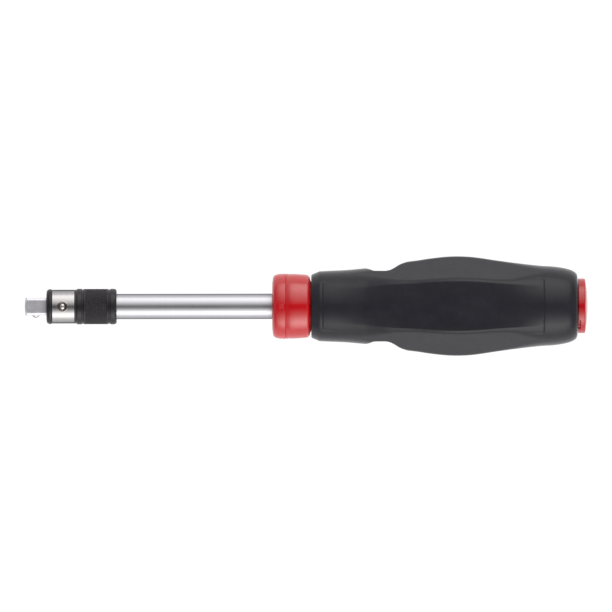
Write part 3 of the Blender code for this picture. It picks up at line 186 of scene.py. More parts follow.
# Reach of a prism at each angle: the nearest of its faces, each its distance / cos(angle off its
# middle), joined by a soft minimum that leaves the edges between faces a little round. Faces that
# are turned away count as far off.
def prismReach(angles, distances, middles, softness):
    turn, away, farOff = np.cos(angles[:, None] - np.array(middles)), 0.1, 1.0
    far = np.where(turn > away, np.array(distances) / np.maximum(turn, away), farOff)
    nearest = far.min(1, keepdims=True)
    return nearest[:, 0] - softness * np.log(np.exp((nearest - far) / softness).sum(1))


def hexagonReach(angles, flats, softness=0.05 * mm):
    middles = quarter + sixth * np.arange(6)   # two flats face straight up and down
    return prismReach(angles, np.full(6, flats * mm / 2), middles, softness)


# Lower of two values, with a soft corner where they cross.
def softMinimum(one, two, softness):
    lower = np.minimum(one, two)
    return lower - softness * np.log(np.exp((lower - one) / softness)
                                     + np.exp((lower - two) / softness))


# Values held under a limit on both sides of zero, with that soft corner, where the mask is true.
def heldUnder(limit, value, softness, mask):
    held = np.sign(value) * softMinimum(np.abs(value), limit, softness)
    return np.where(mask, held, value)


# Step from 0 to 1 between two values, level at both ends: t^2 (3 - 2t).
def easeBetween(low, high, value):
    t = np.clip((value - low) / (high - low), 0, 1)
    return t * t * (3 - 2 * t)


# Materials

# Linear colour from an sRGB hex text, alpha 1.
def linearColour(text):
    share = np.array([int(text[i:i + 2], 16) for i in (0, 2, 4)]) / 255
    linear = np.where(share <= 0.04045, share / 12.92, ((share + 0.055) / 1.055) ** 2.4)
    return (*linear, 1.0)


# Node tree of a material, world or lamp, emptied.
def emptyTree(owner):
    owner.use_nodes = True
    owner.node_tree.nodes.clear()
    return owner.node_tree


# Adds a node to a tree: settings are its own properties or values of its sockets, links its inputs.
def addNode(tree, kind, settings, links=None):
    node = tree.nodes.new(kind)
    for key, value in settings.items():
        if isinstance(key, int) or key in node.inputs:
            node.inputs[key].default_value = value
        else:
            setattr(node, key, value)
    for key, source in (links or {}).items():
        tree.links.new(source, node.inputs[key])
    return node


# One finish from its description. colours are the two ends of a slow mottle; rough the two ends
# of the roughness; grain the size of the surface's grain in mm, drawn out by stretch along x, y, z;
# bump its height in mm; shader what is the same all over.
def makeFinish(name, look):
    material = bpy.data.materials.new(name)
    tree = emptyTree(material)
    place = addNode(tree, "ShaderNodeTexCoord", {}).outputs["Object"]
    stretched = addNode(tree, "ShaderNodeMapping", {"Scale": look.get("stretch", (1, 1, 1))},
                        {"Vector": place}).outputs["Vector"]
    mottle = addNode(tree, "ShaderNodeTexNoise", {
        "Scale": 1 / (look["mottle"] * mm), "Detail": 3.0, "Roughness": 0.55}, {"Vector": place})
    grain = addNode(tree, "ShaderNodeTexNoise", {
        "Scale": 1 / (look["grain"] * mm), "Detail": look.get("detail", 2.0), "Roughness": 0.6},
        {"Vector": stretched})
    both = addNode(tree, "ShaderNodeMix", {"data_type": "FLOAT", "Factor": 0.5},
                   {2: mottle.outputs["Fac"], 3: grain.outputs["Fac"]}).outputs[0]
    noiseSpan = {"From Min": 0.35, "From Max": 0.65}   # most of what the noise gives lies in it
    spread = addNode(tree, "ShaderNodeMapRange", noiseSpan, {"Value": both}).outputs["Result"]
    colour = addNode(tree, "ShaderNodeMix", {
        "data_type": "RGBA", 6: linearColour(look["colours"][0]),
        7: linearColour(look["colours"][1])}, {"Factor": spread}).outputs[2]
    rough = addNode(tree, "ShaderNodeMapRange", {
        **noiseSpan, "To Min": look["rough"][0], "To Max": look["rough"][1]},
        {"Value": both}).outputs["Result"]
    bump = addNode(tree, "ShaderNodeBump", {"Strength": 1.0, "Distance": look["bump"] * mm},
                   {"Height": grain.outputs["Fac"]}).outputs["Normal"]
    shader = addNode(tree, "ShaderNodeBsdfPrincipled", look["shader"],
                     {"Base Color": colour, "Roughness": rough, "Normal": bump})
    addNode(tree, "ShaderNodeOutputMaterial", {}, {"Surface": shader.outputs["BSDF"]})
    return material


def grey(share):
    return (share, share, share, 1.0)


metal = {"Metallic": 1.0}
finishes = {
    # Chrome over polished turned steel: bright, warm beside the cooler shaft, with narrow dark
    # lines.
    "polishedChromePlate": {
        "colours": ("ABA9A9", "B1AFAF"), "mottle": 9, "grain": 0.25, "stretch": (1, 0.04, 0.04),
        "rough": (0.24, 0.28), "bump": 0.0006,
        "shader": {"Metallic": 1.0, "Specular Tint": grey(0.05)}},
    # Satin chrome over a ground bar: cool, its highlights run softly into a grey middle.
    "satinChromePlate": {
        "colours": ("B6B6BB", "BBBBBF"), "mottle": 9, "grain": 0.25, "stretch": (1, 0.04, 0.04),
        "rough": (0.33, 0.37), "bump": 0.0008,
        "shader": {"Metallic": 1.0, "Specular Tint": grey(0.02)}},
    # Wall of the drilled hole in the chromed body: its steel is painted darker as shade in the
    # narrow recess.
    "paintedShadeHoleSteel": {
        "colours": ("7A6E6C", "8A7E7C"), "mottle": 1.5, "grain": 0.2,
        "rough": (0.3, 0.45), "bump": 0.002, "shader": metal},
    # Nickel-plated drop-forged steel, satin: even grey with a fine speckle and soft reflections.
    "satinPlatedSteel": {
        "colours": ("D2D0D6", "DEDCE2"), "mottle": 2.5, "grain": 0.18,
        "rough": (0.42, 0.52), "bump": 0.003,
        "shader": {"Metallic": 1.0, "Specular Tint": grey(0.5)}},
    # Lapped bearing-ball steel: bright, a little warm, with small soft highlights.
    "lappedBallSteel": {
        "colours": ("C6C0BA", "CEC8C2"), "mottle": 2, "grain": 0.1,
        "rough": (0.27, 0.31), "bump": 0.0001,
        "shader": {"Metallic": 1.0, "Specular Tint": grey(0.02)}},
    # Black-oxided turned steel: charcoal, half dull, warm in the light, fine turning lines.
    "blackOxideSteel": {
        "colours": ("323033", "3A383A"), "mottle": 3, "grain": 0.12, "stretch": (1, 0.1, 0.1),
        "rough": (0.36, 0.46), "bump": 0.002,
        "shader": {"Metallic": 0.75}},
    # Injection-moulded ABS, glossy red: deep colour under clear wide highlights.
    "glossyRedAbs": {
        "colours": ("C4030F", "CA0512"), "mottle": 12, "grain": 2.4,
        "rough": (0.16, 0.2), "bump": 0.004,
        "shader": {"IOR": 1.5, "Specular IOR Level": 0.8}},
    # The same ABS where the mould is spark-eroded: matt, a little paler to the eye.
    "erodedRedAbs": {
        "colours": ("C40A14", "CC0E18"), "mottle": 12, "grain": 0.2,
        "rough": (0.42, 0.5), "bump": 0.004,
        "shader": {"IOR": 1.5, "Specular IOR Level": 0.8}},
    # The same ABS in the shade of the end cap, a little deeper.
    "deepRedAbs": {
        "colours": ("B4020E", "BC0412"), "mottle": 12, "grain": 2.4,
        "rough": (0.16, 0.2), "bump": 0.004,
        "shader": {"IOR": 1.5, "Specular IOR Level": 0.65}},
    # Soft thermoplastic rubber out of a spark-eroded mould: charcoal, half matt, with a fine
    # even grain that spreads the highlights.
    "softGripRubber": {
        "colours": ("25252B", "2D2D33"), "mottle": 6, "grain": 0.22, "detail": 3.0,
        "rough": (0.24, 0.28), "bump": 0.006,
        "shader": {"IOR": 1.45, "Specular IOR Level": 0.27}},
    # Glass-filled nylon, moulded: dark grey, dull, faint flow mottle.
    "mouldedGreyNylon": {
        "colours": ("35363A", "404145"), "mottle": 5, "grain": 0.3,
        "rough": (0.42, 0.55), "bump": 0.006, "shader": {"IOR": 1.53}},
    # Pressure die-cast zinc, unpolished: mid grey, cloudy, slightly pitted.
    "dieCastZinc": {
        "colours": ("85878B", "9C9EA2"), "mottle": 3, "grain": 0.3,
        "rough": (0.38, 0.52), "bump": 0.008, "shader": metal},
    # Sintered bronze, oil-soaked: warm brown-gold, grainy, half dull.
    "sinteredBronze": {
        "colours": ("8A6436", "A57C48"), "mottle": 1.2, "grain": 0.15,
        "rough": (0.35, 0.5), "bump": 0.006, "shader": metal},
    # Hard-drawn spring wire and strip: dark steel grey with drawing lines.
    "drawnSpringSteel": {
        "colours": ("7C7E84", "94969B"), "mottle": 1.5, "grain": 0.1,
        "rough": (0.25, 0.38), "bump": 0.002, "shader": metal},
    # Ground dowel-pin steel: bright, with grinding lines round it.
    "groundPinSteel": {
        "colours": ("A9AAAE", "BDBEC1"), "mottle": 2, "grain": 0.08, "stretch": (0.2, 1, 1),
        "rough": (0.2, 0.3), "bump": 0.001, "shader": metal},
    # Case-hardened gear steel: grey-brown temper bloom, satin.
    "hardenedGearSteel": {
        "colours": ("6A6663", "807C7A"), "mottle": 2.2, "grain": 0.14,
        "rough": (0.28, 0.42), "bump": 0.003, "shader": metal},
    # Bright zinc-plated screw steel: pale, slightly blue and cloudy.
    "zincPlatedScrew": {
        "colours": ("A7ACB4", "BFC3C9"), "mottle": 1.2, "grain": 0.12,
        "rough": (0.25, 0.38), "bump": 0.002, "shader": metal},
}
finish = {name: makeFinish(name, look) for name, look in finishes.items()}
print("finishes made", len(finish))


# Gives a finished piece its body, hides the node it stands for and gives it its finishes.
def settle(piece, body, node, *finishNames):
    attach(piece, body)
    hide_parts(node)
    for name in finishNames:
        piece.data.materials.append(finish[name])
    print(piece.name, len(piece.data.polygons), "faces")


# Drive adaptor: a square with cut-off corners in front and a hexagon shank behind

adaptorLook = {
    "columns": 240,
    "square": 6.35, "cornerDistance": 3.865, "edge": 0.016,
    "faceRadius": 1.7, "crown": 0.3, "noseChamfer": 0.5, "noseReach": 4.2, "noseLean": 1.45,
    "squareEnd": 8.15, "shankFlats": 6.3, "shankEnd": 24.4, "shankChamfer": 0.8,
    "groovePlace": 13.4, "grooveCentre": 4.2, "grooveRadius": 1.75,
    "holePlace": 3.9, "holeRadius": 1.42, "holeDepth": 2.95, "holeStep": (0.03, -0.05),
    "stakeDepth": 0.03, "stakeStep": (0.16, 0.02),   # steps: from outside to inside of the rim
    # rows: shares of the tip's reach and of the square's length, crowded at the ball's hole, then
    # places on the shank and shares of its end
    "tipShares": [*np.linspace(0.04, 0.94, 16), 0.965, 0.985, 1.0],
    "sideShares": [0.006, 0.02, *np.linspace(0.05, 0.28, 6), *np.linspace(0.3, 0.68, 42),
                   *np.linspace(0.72, 1, 8)],
    "shankRows": [8.2, 8.35, 10, *np.linspace(11.6, 15.2, 40), *np.linspace(16, 23.4, 8),
                  *np.linspace(23.5, 24.4, 12)],
    "endShares": [0.97, 0.6, 0.15],
}


# Square part: x = nose(reach) + share of the rest, where nose is the domed and chamfered tip. Its
# flat towards -Y steps in steeply where it is nearer to the hole's middle than the hole's radius.
# Shank: hexagon reach, held under a turned chamfer and a round groove for the lock ball.
def adaptorGrid(look):
    angles = roundAngles(look["columns"])
    half = look["square"] / 2 * mm
    flats = list(quarter * np.arange(4)) + list(quarter * (np.arange(4) + 0.5))
    square = prismReach(angles, [half] * 4 + [look["cornerDistance"] * mm] * 4, flats,
                        look["edge"] * mm)
    noseX = np.array([0, look["faceRadius"], look["square"] / 2, look["noseReach"]]) * mm
    noseEnd = look["crown"] + look["noseChamfer"] * look["noseLean"]
    noseFall = np.array([0, 0, look["crown"], noseEnd]) * mm
    tipReach = np.array(look["tipShares"])[:, None] * square
    tip = aroundAxis(np.interp(tipReach, noseX, noseFall), tipReach, angles)
    rimX = np.interp(square, noseX, noseFall)
    along = np.array(look["sideShares"])[:, None]
    side = aroundAxis(rimX + along * (look["squareEnd"] * mm - rimX), square, angles)
    away = np.hypot(side[..., 0] / mm - look["holePlace"], side[..., 2] / mm) - look["holeRadius"]
    deep = look["holeDepth"] * mm * easeBetween(*look["holeStep"], away)
    deep += look["stakeDepth"] * mm * easeBetween(*look["stakeStep"], away)
    onFlat = side[..., 1] < -0.9 * half
    side[..., 1] += np.where(onFlat, deep, 0)
    end = look["shankEnd"] * mm
    chamferX = end - look["shankChamfer"] * mm
    x = np.array(look["shankRows"])[:, None] * mm
    shank = hexagonReach(angles, look["shankFlats"])
    fall = np.maximum(x - chamferX, 0)
    turned = (look["shankFlats"] / 2 / math.cos(sixth / 2)) * mm - fall
    off = np.clip(1 - ((x - look["groovePlace"] * mm) / (look["grooveRadius"] * mm)) ** 2, 0, 1)
    groove = (look["grooveCentre"] - look["grooveRadius"] * np.sqrt(off)) * mm
    groove = np.where(off > 0, groove, shank)
    shankReach = np.minimum(np.minimum(shank, turned), groove)
    back = aroundAxis(end, np.array(look["endShares"])[:, None] * shankReach[-1], angles)
    return np.concatenate([tip, side, aroundAxis(x, shankReach, angles), back])


settle(makePiece("driveAdaptor", adaptorGrid(adaptorLook)), "adaptor", "drive_adaptor",
       "satinPlatedSteel")


# Balls

ballLook = {
    "columns": 72, "rows": 40,
    "driveBall": ("drive_ball", 1.5), "lockBall": ("lock_ball", 1.4),   # node and body, radius
}


# Ball surface: reach is radius * sin(t) and place along x is radius * cos(t), t from 0 to pi.
def ballGrid(centre, radius, look):
    t = np.linspace(0, math.pi, look["rows"] + 2)[1:-1, None]
    grid = aroundAxis(-radius * np.cos(t), radius * np.sin(t), roundAngles(look["columns"]))
    return grid + centre


for name in ("driveBall", "lockBall"):
    node, radius = ballLook[name]
    low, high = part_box(node)
    centre = np.array((low + high) / 2)
    settle(makePiece(name, ballGrid(centre, radius * mm, ballLook)), node, node,
           "lappedBallSteel")


# Nose ring: a turned ring with a full round in front

noseRingLook = {
    "columns": 128,
    "corners": [(8.15, 5.13), (8.15, 4.03), (7.7, 4.03), (7.7, 5.2), (7.98, 5.9), (8.75, 6.23),
                (9.4, 6.23), (9.72, 5.95), (9.72, 5.13)],
    "rounds": [0.05, 0.05, 0.12, 0.32, 0.32, 0.3, 0.15, 0.1, 0.05],
}
profile = roundedProfile(noseRingLook["corners"], noseRingLook["rounds"])
noseRing = makePiece("noseRing", aroundAxis(
    profile[:, :1], profile[:, 1:], roundAngles(noseRingLook["columns"])), rowsJoin=True)
settle(noseRing, "shaft", "nose_ring", "blackOxideSteel")


# Chuck body: bright band in front, barrel under the sleeve, hexagon socket inside and a round
# hole through the band for the lock ball

chuckLook = {
    "corners": [
        (24.7, 0.25), (24.7, 3.45), (8.4, 3.45), (8.4, 4.88), (9.78, 4.88), (9.78, 6.0),
        (17.68, 6.0), (17.68, 4.6), (29.15, 4.6), (29.15, 4.2), (30.05, 4.2), (30.05, 4.6),
        (31.0, 4.6), (31.0, 3.45), (25.9, 3.45), (25.9, 0.25)],
    "rounds": [0, 0.03, 0.1, 0.1, 0.05, 0.08, 0.1, 0.05, 0.05, 0.04, 0.04, 0.05, 0.4,
               0.1, 0.03, 0],
    "socketFlats": 6.9, "socketRows": 3.45, "socketFrom": 8.3, "socketTo": 24.9,
    "socketSoftness": 0.03,
    "holePlace": 13.4, "holeRadius": 1.7, "innerRadius": 1.33, "band": 6.0,
    # cells from the hole's middle to its rim, and to where they calm; columns beyond that
    "cells": 8, "cellsOut": 14, "restColumns": 112,
    "wall": [(1.57, 5.93), (1.53, 5.85), (1.47, 5.70), (1.30, 5.66), (1.25, 5.62),
             (1.25, 5.48), (1.30, 5.43), (1.52, 5.42), (1.55, 5.3), (1.55, 3.9), (1.5, 3.72),
             (1.36, 3.64)],
    "sagFrom": 5.3, "sagOver": 0.7,   # heights over which a ring takes on the band's curve
}


# Opens the hole's mouth on the band or on the socket's top flat. The rim of a square block of cells
# (|u| or |v| = 1) is pulled to a circle, and the cells around it follow less and less: place =
# mix(circle * size, own place). The block's faces leave the kept mask; its rim's points come back.
def openMouth(look, grid, kept, rows, columns, steps, outside):
    size = (look["holeRadius"] if outside else look["innerRadius"]) * mm
    part = grid[np.ix_(rows, columns)]
    along = steps if outside else -steps   # the socket's rows run forwards
    up, across = np.meshgrid(along, -steps, indexing="ij")
    square = np.maximum(np.maximum(np.abs(up), np.abs(across)), 1e-9)
    length = np.maximum(np.hypot(up, across), 1e-9)
    circleX = look["holePlace"] * mm + size * square * up / length
    circleY = size * square * across / length
    mixing = 1 - easeBetween(1.0, steps[-1], square)
    part[..., 0] = part[..., 0] * (1 - mixing) + circleX * mixing
    part[..., 1] = part[..., 1] * (1 - mixing) + circleY * mixing
    if outside:
        part[..., 2] = np.sqrt((look["band"] * mm) ** 2 - part[..., 1] ** 2)
    grid[np.ix_(rows, columns)] = part
    first, last = look["cellsOut"] - look["cells"], look["cellsOut"] + look["cells"]
    kept[np.ix_(rows[first:last], columns[first:last])] = False
    i, j = rows[first:last + 1], columns[first:last + 1]
    if not outside:
        i = i[::-1]
    index = np.arange(grid.shape[0] * grid.shape[1]).reshape(grid.shape[:2])
    return np.concatenate([index[i[0], j[:-1]], index[i[:-1], j[-1]], index[i[-1], j[:0:-1]],
                           index[i[:0:-1], j[0]]])


# Chuck grid: the turned profile, with the hexagon's reach wherever the profile is the socket.
# Columns crowd round the top, where equal steps in y make the square block of cells for the hole.
def chuckGrid(look):
    hole, band = look["holeRadius"], look["band"]
    steps = np.arange(-look["cellsOut"], look["cellsOut"] + 1) / look["cells"]
    inBlock = np.arcsin(steps * hole / band)
    rest = np.linspace(inBlock[-1], inBlock[0] + 2 * math.pi, look["restColumns"])[1:-1]
    angles = np.sort(np.mod(upward + np.concatenate([inBlock, rest]), 2 * math.pi))
    low, high = look["holePlace"] + steps[0] * hole, look["holePlace"] + steps[-1] * hole
    profile = roundedProfile(look["corners"], look["rounds"], closed=False)
    profile = withExtraPoints(profile, low * mm, high * mm, len(steps), rising=False)
    socket = np.abs(profile[:, 1] - look["socketRows"] * mm) < 0.04 * mm
    socket &= profile[:, 0] < look["socketTo"] * mm
    socket &= profile[:, 0] > look["socketFrom"] * mm
    outerStart = np.nonzero(socket)[0][-1] + 1
    outer = withExtraPoints(profile[outerStart:], low * mm, high * mm, len(steps))
    profile = np.concatenate([profile[:outerStart], outer])
    socket = np.concatenate([socket[:outerStart], np.zeros(len(outer), bool)])
    hexagon = hexagonReach(angles, look["socketFlats"], look["socketSoftness"] * mm)
    reach = np.where(socket[:, None], hexagon, profile[:, 1:])
    grid = aroundAxis(profile[:, :1], reach, angles)
    kept = np.ones((len(profile) - 1, len(angles)), bool)
    columns = np.nonzero(np.abs(angles - upward) <= inBlock.max() + 1e-6)[0]
    rims = []
    for outside in (True, False):
        onRun = (profile[:, 0] > (low - 0.001) * mm) & (profile[:, 0] < (high + 0.001) * mm)
        onRun &= ~socket if outside else socket
        onRun &= np.abs(profile[:, 1] - (band if outside else look["socketRows"]) * mm) < 1e-6
        rows = np.nonzero(onRun)[0]
        rims.append(openMouth(look, grid, kept, rows, columns, steps, outside))
    return grid, kept, rims


# Wall of the hole: rings of given radius and height under the rim, the first rim outside and the
# last inside; each ring is the direction of the rim's points times its radius.
def holeWall(grid, kept, rims, look):
    points = grid.reshape(-1, 3)
    rim = points[rims[0]]
    turn = np.arctan2(rim[:, 1], rim[:, 0] - look["holePlace"] * mm)
    radius, height = np.array(look["wall"]).T[:, :, None] * mm
    ringX = look["holePlace"] * mm + radius * np.cos(turn)
    ringY = radius * np.sin(turn)
    band = look["band"] * mm
    sag = np.sqrt(band**2 - ringY**2) - band
    share = np.clip((height - look["sagFrom"] * mm) / (look["sagOver"] * mm), 0, 1)
    rings = np.stack([ringX, ringY, height + sag * share], axis=-1)
    start = len(points)
    index = start + np.arange(rings.shape[0] * rings.shape[1]).reshape(rings.shape[:2])
    index = np.vstack([rims[0][None], index, rims[1][None]])
    beside = np.roll(index, -1, axis=1)
    faces = np.stack([index[:-1], index[1:], beside[1:], beside[:-1]], axis=-1).reshape(-1, 4)
    return {"kept": kept, "points": rings.reshape(-1, 3), "faces": faces}


grid, kept, rims = chuckGrid(chuckLook)
chuckBody = makePiece("chuckBody", grid, hole=holeWall(grid, kept, rims, chuckLook))
# The hole's wall takes the second finish, steel painted darker as shade in the recess.
settle(chuckBody, "shaft", "chuck_body", "polishedChromePlate",
       "paintedShadeHoleSteel")


# Knurled sleeve: beads and grooves at both ends, a diamond knurl between

sleeveLook = {
    "columns": 456, "knurlCount": 38,
    "corners": [
        (20.15, 5.75), (20.15, 4.9), (17.72, 4.9), (17.72, 6.02), (18.4, 6.02), (18.65, 6.35),
        (20.2, 6.35), (20.42, 6.1), (20.75, 6.08), (21.0, 6.3), (29.6, 6.3), (29.85, 6.06),
        (30.25, 6.06), (30.5, 6.35), (31.95, 6.35), (32.6, 5.9), (32.6, 5.75)],
    "rounds": [0.03, 0.03, 0.06, 0.1, 0.08, 0.25, 0.3, 0.1, 0.1, 0.1, 0.1, 0.1, 0.1, 0.3,
               0.45, 0.06, 0.04],
    "knurlStart": 21.35, "knurlEnd": 29.3, "knurlRows": 83, "knurlDepth": 0.24, "pitch": 1.04,
    "fade": 0.35, "slope": 0.75,   # share of half a pitch that a groove's side takes
    "outside": 6,   # reach over which the profile is the sleeve's outside
}


# Diamond knurl: two sets of slanting V grooves cross, u + v and u - v, where u counts diamonds
# round the sleeve and v along it; the surface is the height of the lower groove, flat on top.
def sleeveGrid(look):
    angles = roundAngles(look["columns"])
    profile = roundedProfile(look["corners"], look["rounds"])
    start, end = look["knurlStart"] * mm, look["knurlEnd"] * mm
    profile = withExtraPoints(profile, start, end, look["knurlRows"])
    x, reach = profile[:, :1], profile[:, 1:]
    u = angles / (2 * math.pi) * look["knurlCount"]
    v = x / (look["pitch"] * mm)
    one, two = (u + v) % 1, (u - v) % 1
    ridge = np.minimum(1 - np.abs(2 * one - 1), 1 - np.abs(2 * two - 1))
    height = np.clip(ridge / look["slope"], 0, 1)
    outer = (x >= start) & (x <= end) & (reach > look["outside"] * mm)
    fade = look["fade"] * mm
    ends = np.clip((x - start) / fade, 0, 1) * np.clip((end - x) / fade, 0, 1)
    cut = look["knurlDepth"] * mm * (1 - height) * ends * outer
    return aroundAxis(x, reach - cut, angles)


settle(makePiece("knurledSleeve", sleeveGrid(sleeveLook), rowsJoin=True), "sleeve",
       "knurled_sleeve", "blackOxideSteel")


# Shaft: spigot in the chuck, round bright bar, hexagon end for the gear

clip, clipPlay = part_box("gear_circlip"), 0.1
clipFront, clipRear = clip[0].x / mm - clipPlay, clip[1].x / mm + clipPlay
shaftLook = {
    "columns": 144,
    "corners": [
        (26.15, 0.25), (26.15, 3.2), (31.25, 3.2), (31.25, 4.5), (104.7, 4.5), (104.7, 3.18),
        (clipFront, 3.18), (clipFront, 2.5), (clipRear, 2.5), (clipRear, 3.18), (112.8, 3.18),
        (112.8, 0.25)],
    "rounds": [0, 0.3, 0.05, 0.3, 0.3, 0.05, 0.05, 0.05, 0.05, 0.05, 0.3, 0],
    "endFlats": 5.5, "endStart": 104.75,
}
profile = roundedProfile(shaftLook["corners"], shaftLook["rounds"], closed=False)
angles = roundAngles(shaftLook["columns"])
reach = np.where(profile[:, :1] > shaftLook["endStart"] * mm,
                 np.minimum(profile[:, 1:], hexagonReach(angles, shaftLook["endFlats"])),
                 profile[:, 1:])
settle(makePiece("shaftBar", aroundAxis(profile[:, :1], reach, angles)), "shaft", "shaft",
       "satinChromePlate")


# Selector ring: domed front, a shallow valley behind the crown, tapered rear, hub and skirt

selectorLook = {
    "columns": 240,
    "outline": [
        (88.02, 9.3), (88.12, 9.95), (88.28, 10.45), (88.52, 10.82), (88.85, 11.08), (89.2, 11.25),
        (89.6, 11.38), (90.1, 11.48), (90.7, 11.545), (91.5, 11.59), (92.3, 11.605),
        (92.5, 11.595), (92.58, 11.45), (92.66, 11.2), (92.74, 11.13), (93.0, 11.215),
        (93.3, 11.305), (93.6, 11.39), (94.0, 11.47), (94.4, 11.515), (94.8, 11.53),
        (95.4, 11.53), (97.0, 11.45), (98.6, 11.34), (99.9, 11.24), (100.35, 11.16),
        (100.7, 10.98), (101.1, 10.55), (101.3, 10.2)],
    "rows": 130, "crowded": [(88.2, 0.4, 8), (92.65, 0.15, 16), (93.0, 0.5, 4), (101, 0.5, 5)],
    "rear": [
        (101.42, 9.6), (101.78, 8.7), (101.9, 8.7), (101.9, 9.9), (102.65, 9.9), (102.65, 9.65),
        (111.95, 9.65), (111.95, 9.05), (110.65, 9.05), (110.65, 9.0), (102.85, 9.0), (102.85, 7.3),
        (95.7, 7.3), (95.7, 7.05), (94.7, 7.05), (94.7, 7.3), (90.7, 7.3), (90.7, 4.8), (87.9, 4.8),
        (87.9, 8.6)],
    "rearRound": 0.08, "top": 11,
    # the step behind the crown is shallower at both sides
    "sideFill": 0.4, "fillPlace": 93.05, "fillWidth": 0.5, "fillSpread": 0.5,
    "markFrom": 90.35, "markTo": 92.1, "markHalf": 0.85,   # matt index mark on the crown
    "bore": 7.3, "skirtBore": 9.0, "camFrom": 102.8, "camTo": 110.66,
    "stepX": 102.85, "stepFrom": 8.7, "stepTo": 7.6, "stepRows": 11,   # face with the dimples
    "cam": [(-59.3, 9.0), (-58.5, 7.4), (-42, 8.17), (-25, 9.0)],   # degrees below the side, reach
    "dimpleAngles": (78, 90, 102), "dimpleReach": 7.85, "dimpleX": 103.25, "dimpleRadius": 0.78,
}


# Inside of the ring's skirt. Cams: the skirt's reach falls along each cam and jumps back to the
# full bore, and the step face shrinks with it. Dimples: where a point of the step face is within
# the ball's radius of a dimple's middle, it moves forward on to the ball.
def skirtInside(look, x, reach, angles):
    side = np.degrees(np.arctan2(np.sin(angles), np.abs(np.cos(angles))))
    cam = np.interp(side, *np.array(look["cam"]).T) * mm
    bore, full = look["bore"] * mm, look["skirtBore"] * mm
    inCam = (x > look["camFrom"] * mm) & (x < look["camTo"] * mm) & (reach < full + 0.01 * mm)
    reach = np.where(inCam, bore + (reach - bore) * (cam - bore) / (full - bore), reach)
    middle, radius = look["dimpleReach"] * mm, look["dimpleRadius"] * mm
    for turn in look["dimpleAngles"]:
        apart = np.cos(angles - math.radians(turn))
        inBall = radius**2 - (reach**2 + middle**2 - 2 * reach * middle * apart)
        ball = look["dimpleX"] * mm - np.sqrt(np.maximum(inBall, 0))
        x = np.where(inBall > 0, np.minimum(x, ball), x)
    return x, reach


# Ring grid: smooth outline in front, cornered profile behind and inside. A bell along x raises the
# outline behind the crown, by a share that is 1 at both sides and near 0 on top and below.
def selectorGrid(look):
    angles = roundAngles(look["columns"])
    along = crowdedPlaces(look["outline"], look["rows"], look["crowded"])
    outline = np.stack([along, smoothThrough(along, look["outline"])], axis=-1)
    rear = roundedProfile(look["rear"], look["rearRound"], steps=4)
    stepReach = np.linspace(look["stepFrom"], look["stepTo"], look["stepRows"]) * mm
    stepFace = np.stack([np.full(len(stepReach), look["stepX"] * mm), stepReach], axis=-1)
    rear = np.insert(rear, np.argmax(rear[:, 1] < stepReach[-1]), stepFace, axis=0)
    profile = np.concatenate([outline, rear])
    x, reach = profile[:, :1], profile[:, 1:]
    fill = bell(x - look["fillPlace"] * mm, look["fillWidth"] * mm) * (reach > look["top"] * mm)
    beside = bell(np.sin(angles), look["fillSpread"])
    reach = reach + look["sideFill"] * mm * fill * beside
    return aroundAxis(*skirtInside(look, x, reach, angles), angles)


selector = makePiece("selectorRing", selectorGrid(selectorLook), rowsJoin=True)
settle(selector, "selector", "selector_ring", "glossyRedAbs", "erodedRedAbs")
middles = np.empty(len(selector.data.polygons) * 3, np.float32)
selector.data.polygons.foreach_get("center", middles)
middles = middles.reshape(-1, 3) / mm
isMark = (middles[:, 0] > selectorLook["markFrom"]) & (middles[:, 0] < selectorLook["markTo"])
isMark &= np.abs(middles[:, 1]) < selectorLook["markHalf"]
isMark &= middles[:, 2] > selectorLook["top"]
selector.data.polygons.foreach_set("material_index", isMark.astype(np.int32))


# End cap: a low dome over a rounded rim with a pry notch, and a hollow plug

capLook = {
    "columns": 256,
    "corners": [
        (196.65, 0.25), (196.65, 5.6), (188.65, 5.6), (188.65, 7.2), (192.6, 7.2), (193.1, 7.38),
        (193.6, 7.2), (196.65, 7.2), (196.65, 9.75), (199.1, 9.75), (199.6, 6.6), (199.87, 3.6),
        (200.0, 1.2), (200.0, 0.25)],
    "rounds": [0, 0.05, 0.1, 0.45, 0.1, 0.25, 0.1, 0.05, 0.2, 0.55, 1.2, 1.0, 0.5, 0],
    "faceX": 196.65, "rimReach": 9.6,
    "notchAngle": 136, "notchHalfWidth": 2.2, "notchLength": 0.7, "notchFloor": 8.65,
    "notchSide": 0.12, "notchEnd": 0.05,   # half the run of its soft side steps and end step
    "extraFrom": 197.1, "extraTo": 197.7, "extraRows": 9,
}


# Cap grid: the turned profile; near the notch's angle, and within its length behind the rim's
# front, the reach comes down to the notch's floor with a steep soft step.
def capGrid(look):
    angles = roundAngles(look["columns"])
    profile = roundedProfile(look["corners"], look["rounds"], steps=8, closed=False)
    profile = withExtraPoints(profile, look["extraFrom"] * mm, look["extraTo"] * mm,
                              look["extraRows"])
    x, reach = profile[:, :1], profile[:, 1:]
    off = np.abs(np.angle(np.exp(1j * (angles - math.radians(look["notchAngle"])))))
    half, side, end = (look[key] * mm for key in ("notchHalfWidth", "notchSide", "notchEnd"))
    wide = easeBetween(half + side, half - side, look["rimReach"] * mm * off)
    face, length = look["faceX"] * mm, look["notchLength"] * mm
    inLength = easeBetween(face + length + end, face + length - end, x)
    share = wide * inLength * (x > face - 0.01 * mm)
    lower = np.minimum(reach, look["notchFloor"] * mm)
    return aroundAxis(x, reach * (1 - share) + lower * share, angles)


settle(makePiece("endCap", capGrid(capLook)), "end_cap", "end_cap", "deepRedAbs")


# Grip: round neck that grows into a hexagon with round corners and a round tail

